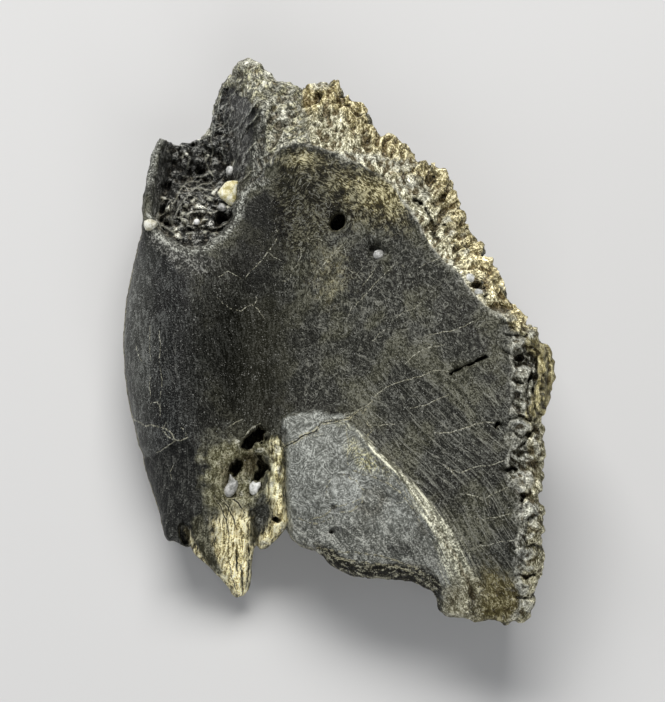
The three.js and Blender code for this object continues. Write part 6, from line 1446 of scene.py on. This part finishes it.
# veins and cracks, measured off the piece
perp, wid, beyond, dark = T.split("line")
d = T.m("ABSOLUTE", T.add(perp, T.mul(T.sub(nB, 0.5), 0.07)))
rel = T.m("DIVIDE", d, T.m("MAXIMUM", wid, 0.02))
live = T.step(beyond, 0.12, 0.0)
core = T.mul(T.step(rel, 1.35, 0.45), live)
# light veins, and painted highlights along the edges of the hollow's struts and the peak's laminae
vein = T.mul(T.mul(core, T.sub(1.0, dark)), T.step(nE, 0.10, 0.50))
vein_tone = T.ramp(nA, (0.17, 0.25, 0.33, 0.42, 0.56), (1.04, 0.70), (1.03, 0.76), (1.01, 0.84))
layer(T.mul(T.mul(vein, T.sub(1.0, T.mul(hollow, 0.55))), 0.85), T.mixc(wall, vein_tone, T.tint(vein_tone, (1.22, 1.28, 1.42), 0.0)))
halo = T.mul(T.mul(T.step(rel, 3.6, 1.4), live), dark)
layer(T.mul(halo, T.mul(T.step(nE, 0.30, 0.65), 0.8)), rgb(0.50, 1.06, 0.68))
layer(T.mul(core, T.mul(dark, T.step(nM, 0.0, 0.25))), rgb(0.012, 1.0, 0.8))

bump_ = T.node("ShaderNodeBump")
bump_.inputs["Strength"].default_value = 0.55
bump_.inputs["Distance"].default_value = 0.00016
T.plug(bump_.inputs["Height"], T.comb((0.45, nA), (0.50, nB), (0.50, lnO), (0.50, fibC)))
coarse = T.m("MAXIMUM", T.m("MAXIMUM", bevel, peak), T.m("MAXIMUM", suture, T.m("MAXIMUM", creamy, hollow)))
T.plug(bump_.inputs["Distance"], T.mixf(coarse, 0.00016, 0.00030))
T.plug(T.out.inputs["Normal"], bump_.outputs[0])
T.plug(T.out.inputs["Base Color"], col)
T.plug(T.out.inputs["Roughness"], rough)
T.plug(T.out.inputs["Specular IOR Level"], spec)
bone.data.materials.clear()
bone.data.materials.append(T.mat)


def stone(name, lums, dark, mid, bright, rough, scatter):
    S = Tree(name)
    tcs = S.node("ShaderNodeTexCoord")
    p = S.scale(tcs.outputs["Object"], (1000, 1000, 1000))
    a, b = S.noise(p, (1.3, 1.3, 1.3), 2), S.noise(p, (4.5, 4.5, 4.5), 2)
    S.plug(S.out.inputs["Base Color"], S.ramp(S.comb((1.0, a), (0.5, b)), lums, dark, mid, bright))
    S.plug(S.out.inputs["Roughness"], S.mixf(b, rough - 0.1, rough + 0.1))
    S.out.inputs["Subsurface Weight"].default_value = scatter
    S.out.inputs["Subsurface Scale"].default_value = 0.0006
    bmp = S.node("ShaderNodeBump")
    bmp.inputs["Strength"].default_value = 0.3
    bmp.inputs["Distance"].default_value = 0.0001
    S.plug(bmp.inputs["Height"], b)
    S.plug(S.out.inputs["Normal"], bmp.outputs[0])
    return S.mat


STONES = {
    "yellow_quartz": stone("yellow_quartz", (0.46, 0.62, 0.76, 0.86, 0.95), (1.16, 0.44), (1.07, 0.64), (1.02, 0.82), 0.42, 0.0),
    "cream_stone": stone("cream_stone", (0.40, 0.54, 0.66, 0.76, 0.88), (1.06, 0.74), (1.03, 0.82), (1.01, 0.90), 0.5, 0.0),
    "pale_quartz": stone("pale_quartz", (0.42, 0.56, 0.68, 0.78, 0.88), (0.99, 0.93), (0.99, 0.96), (1.0, 0.98), 0.40, 0.0),
    "light_pebble": stone("light_pebble", (0.22, 0.31, 0.39, 0.47, 0.60), (0.99, 0.93), (1.0, 0.95), (1.0, 0.97), 0.42, 0.0),
    "grey_quartz": stone("grey_quartz", (0.15, 0.24, 0.33, 0.42, 0.54), (1.0, 0.92), (1.0, 0.95), (1.0, 0.97), 0.42, 0.0),
}
for ob in list(bpy.data.objects):
    key = ob.get("stone_slot")
    if key:
        ob.data.materials.clear()
        ob.data.materials.append(STONES["cream_stone" if "cream" in ob.name else "light_pebble" if "pebble" in ob.name and key == "grey_quartz" else key])

# -------------------------------------------------------------- stage and light
right, up, toward = Vector((1, 0, 0)), Vector((0, SE, CE)), Vector((0, -CE, SE))
apex = (Vector(ORIGIN) + toward * TAPER + right * ((332.5 - DATUM[0]) * UNIT) + up * ((DATUM[1] - 351.0) * UNIT)) / 1000
cam_data = bpy.data.cameras.new("camera")
cam_data.sensor_fit = "HORIZONTAL"
cam_data.sensor_width = 36.0
cam_data.lens = 36.0 * TAPER / (665 * UNIT)
cam_data.clip_start = 0.01
cam_data.clip_end = 20
cam = bpy.data.objects.new("camera", cam_data)
bpy.context.scene.collection.objects.link(cam)
cam.matrix_world = Matrix((
    (right.x, up.x, toward.x, apex.x),
    (right.y, up.y, toward.y, apex.y),
    (right.z, up.z, toward.z, apex.z),
    (0, 0, 0, 1)))
bpy.context.scene.camera = cam


def area(name, loc, aim, size, power, colour=(1, 1, 1), size_y=None):
    d = bpy.data.lights.new(name, "AREA")
    d.shape = "RECTANGLE"
    d.size = size
    d.size_y = size_y or size
    d.energy = power
    d.color = colour
    o = bpy.data.objects.new(name, d)
    o.location = loc
    o.rotation_euler = (Vector(aim) - Vector(loc)).to_track_quat("-Z", "Y").to_euler()
    bpy.context.scene.collection.objects.link(o)
    return o


area("key_softbox", (-0.04, 0.26, 0.44), (0, 0.0, 0.01), 0.42, 2.9, (1.0, 0.985, 0.96), 0.30)
area("side_fill_left", (-0.55, -0.05, 0.16), (0, 0, 0.01), 0.24, 0.40, (0.93, 0.96, 1.0))
area("front_fill", (0.10, -0.50, 0.34), (0, 0, 0.01), 0.36, 1.55, (1, 1, 1))

world = bpy.data.worlds.new("world")
bpy.context.scene.world = world
world.use_nodes = True
world.node_tree.nodes["Background"].inputs["Color"].default_value = (0.80, 0.84, 0.90, 1)
world.node_tree.nodes["Background"].inputs["Strength"].default_value = 0.14

floor_me = bpy.data.meshes.new("floor")
s = 1.2
floor_me.from_pydata([(-s, -s, -3e-5), (s, -s, -3e-5), (s, s, -3e-5), (-s, s, -3e-5)], [], [(0, 1, 2, 3)])
floor = bpy.data.objects.new("floor", floor_me)
bpy.context.scene.collection.objects.link(floor)
fm = bpy.data.materials.new("floor")
fm.use_nodes = True
fb = fm.node_tree.nodes["Principled BSDF"]
fb.inputs["Base Color"].default_value = (0.62, 0.62, 0.62, 1)
fb.inputs["Roughness"].default_value = 0.85
floor_me.materials.append(fm)

bpy.context.scene.view_settings.view_transform = "Standard"
bpy.context.scene.view_settings.look = "None"
bpy.context.scene.view_settings.exposure = 0.0
bpy.context.scene.view_settings.gamma = 1.0

lo, hi = CAD_BOX
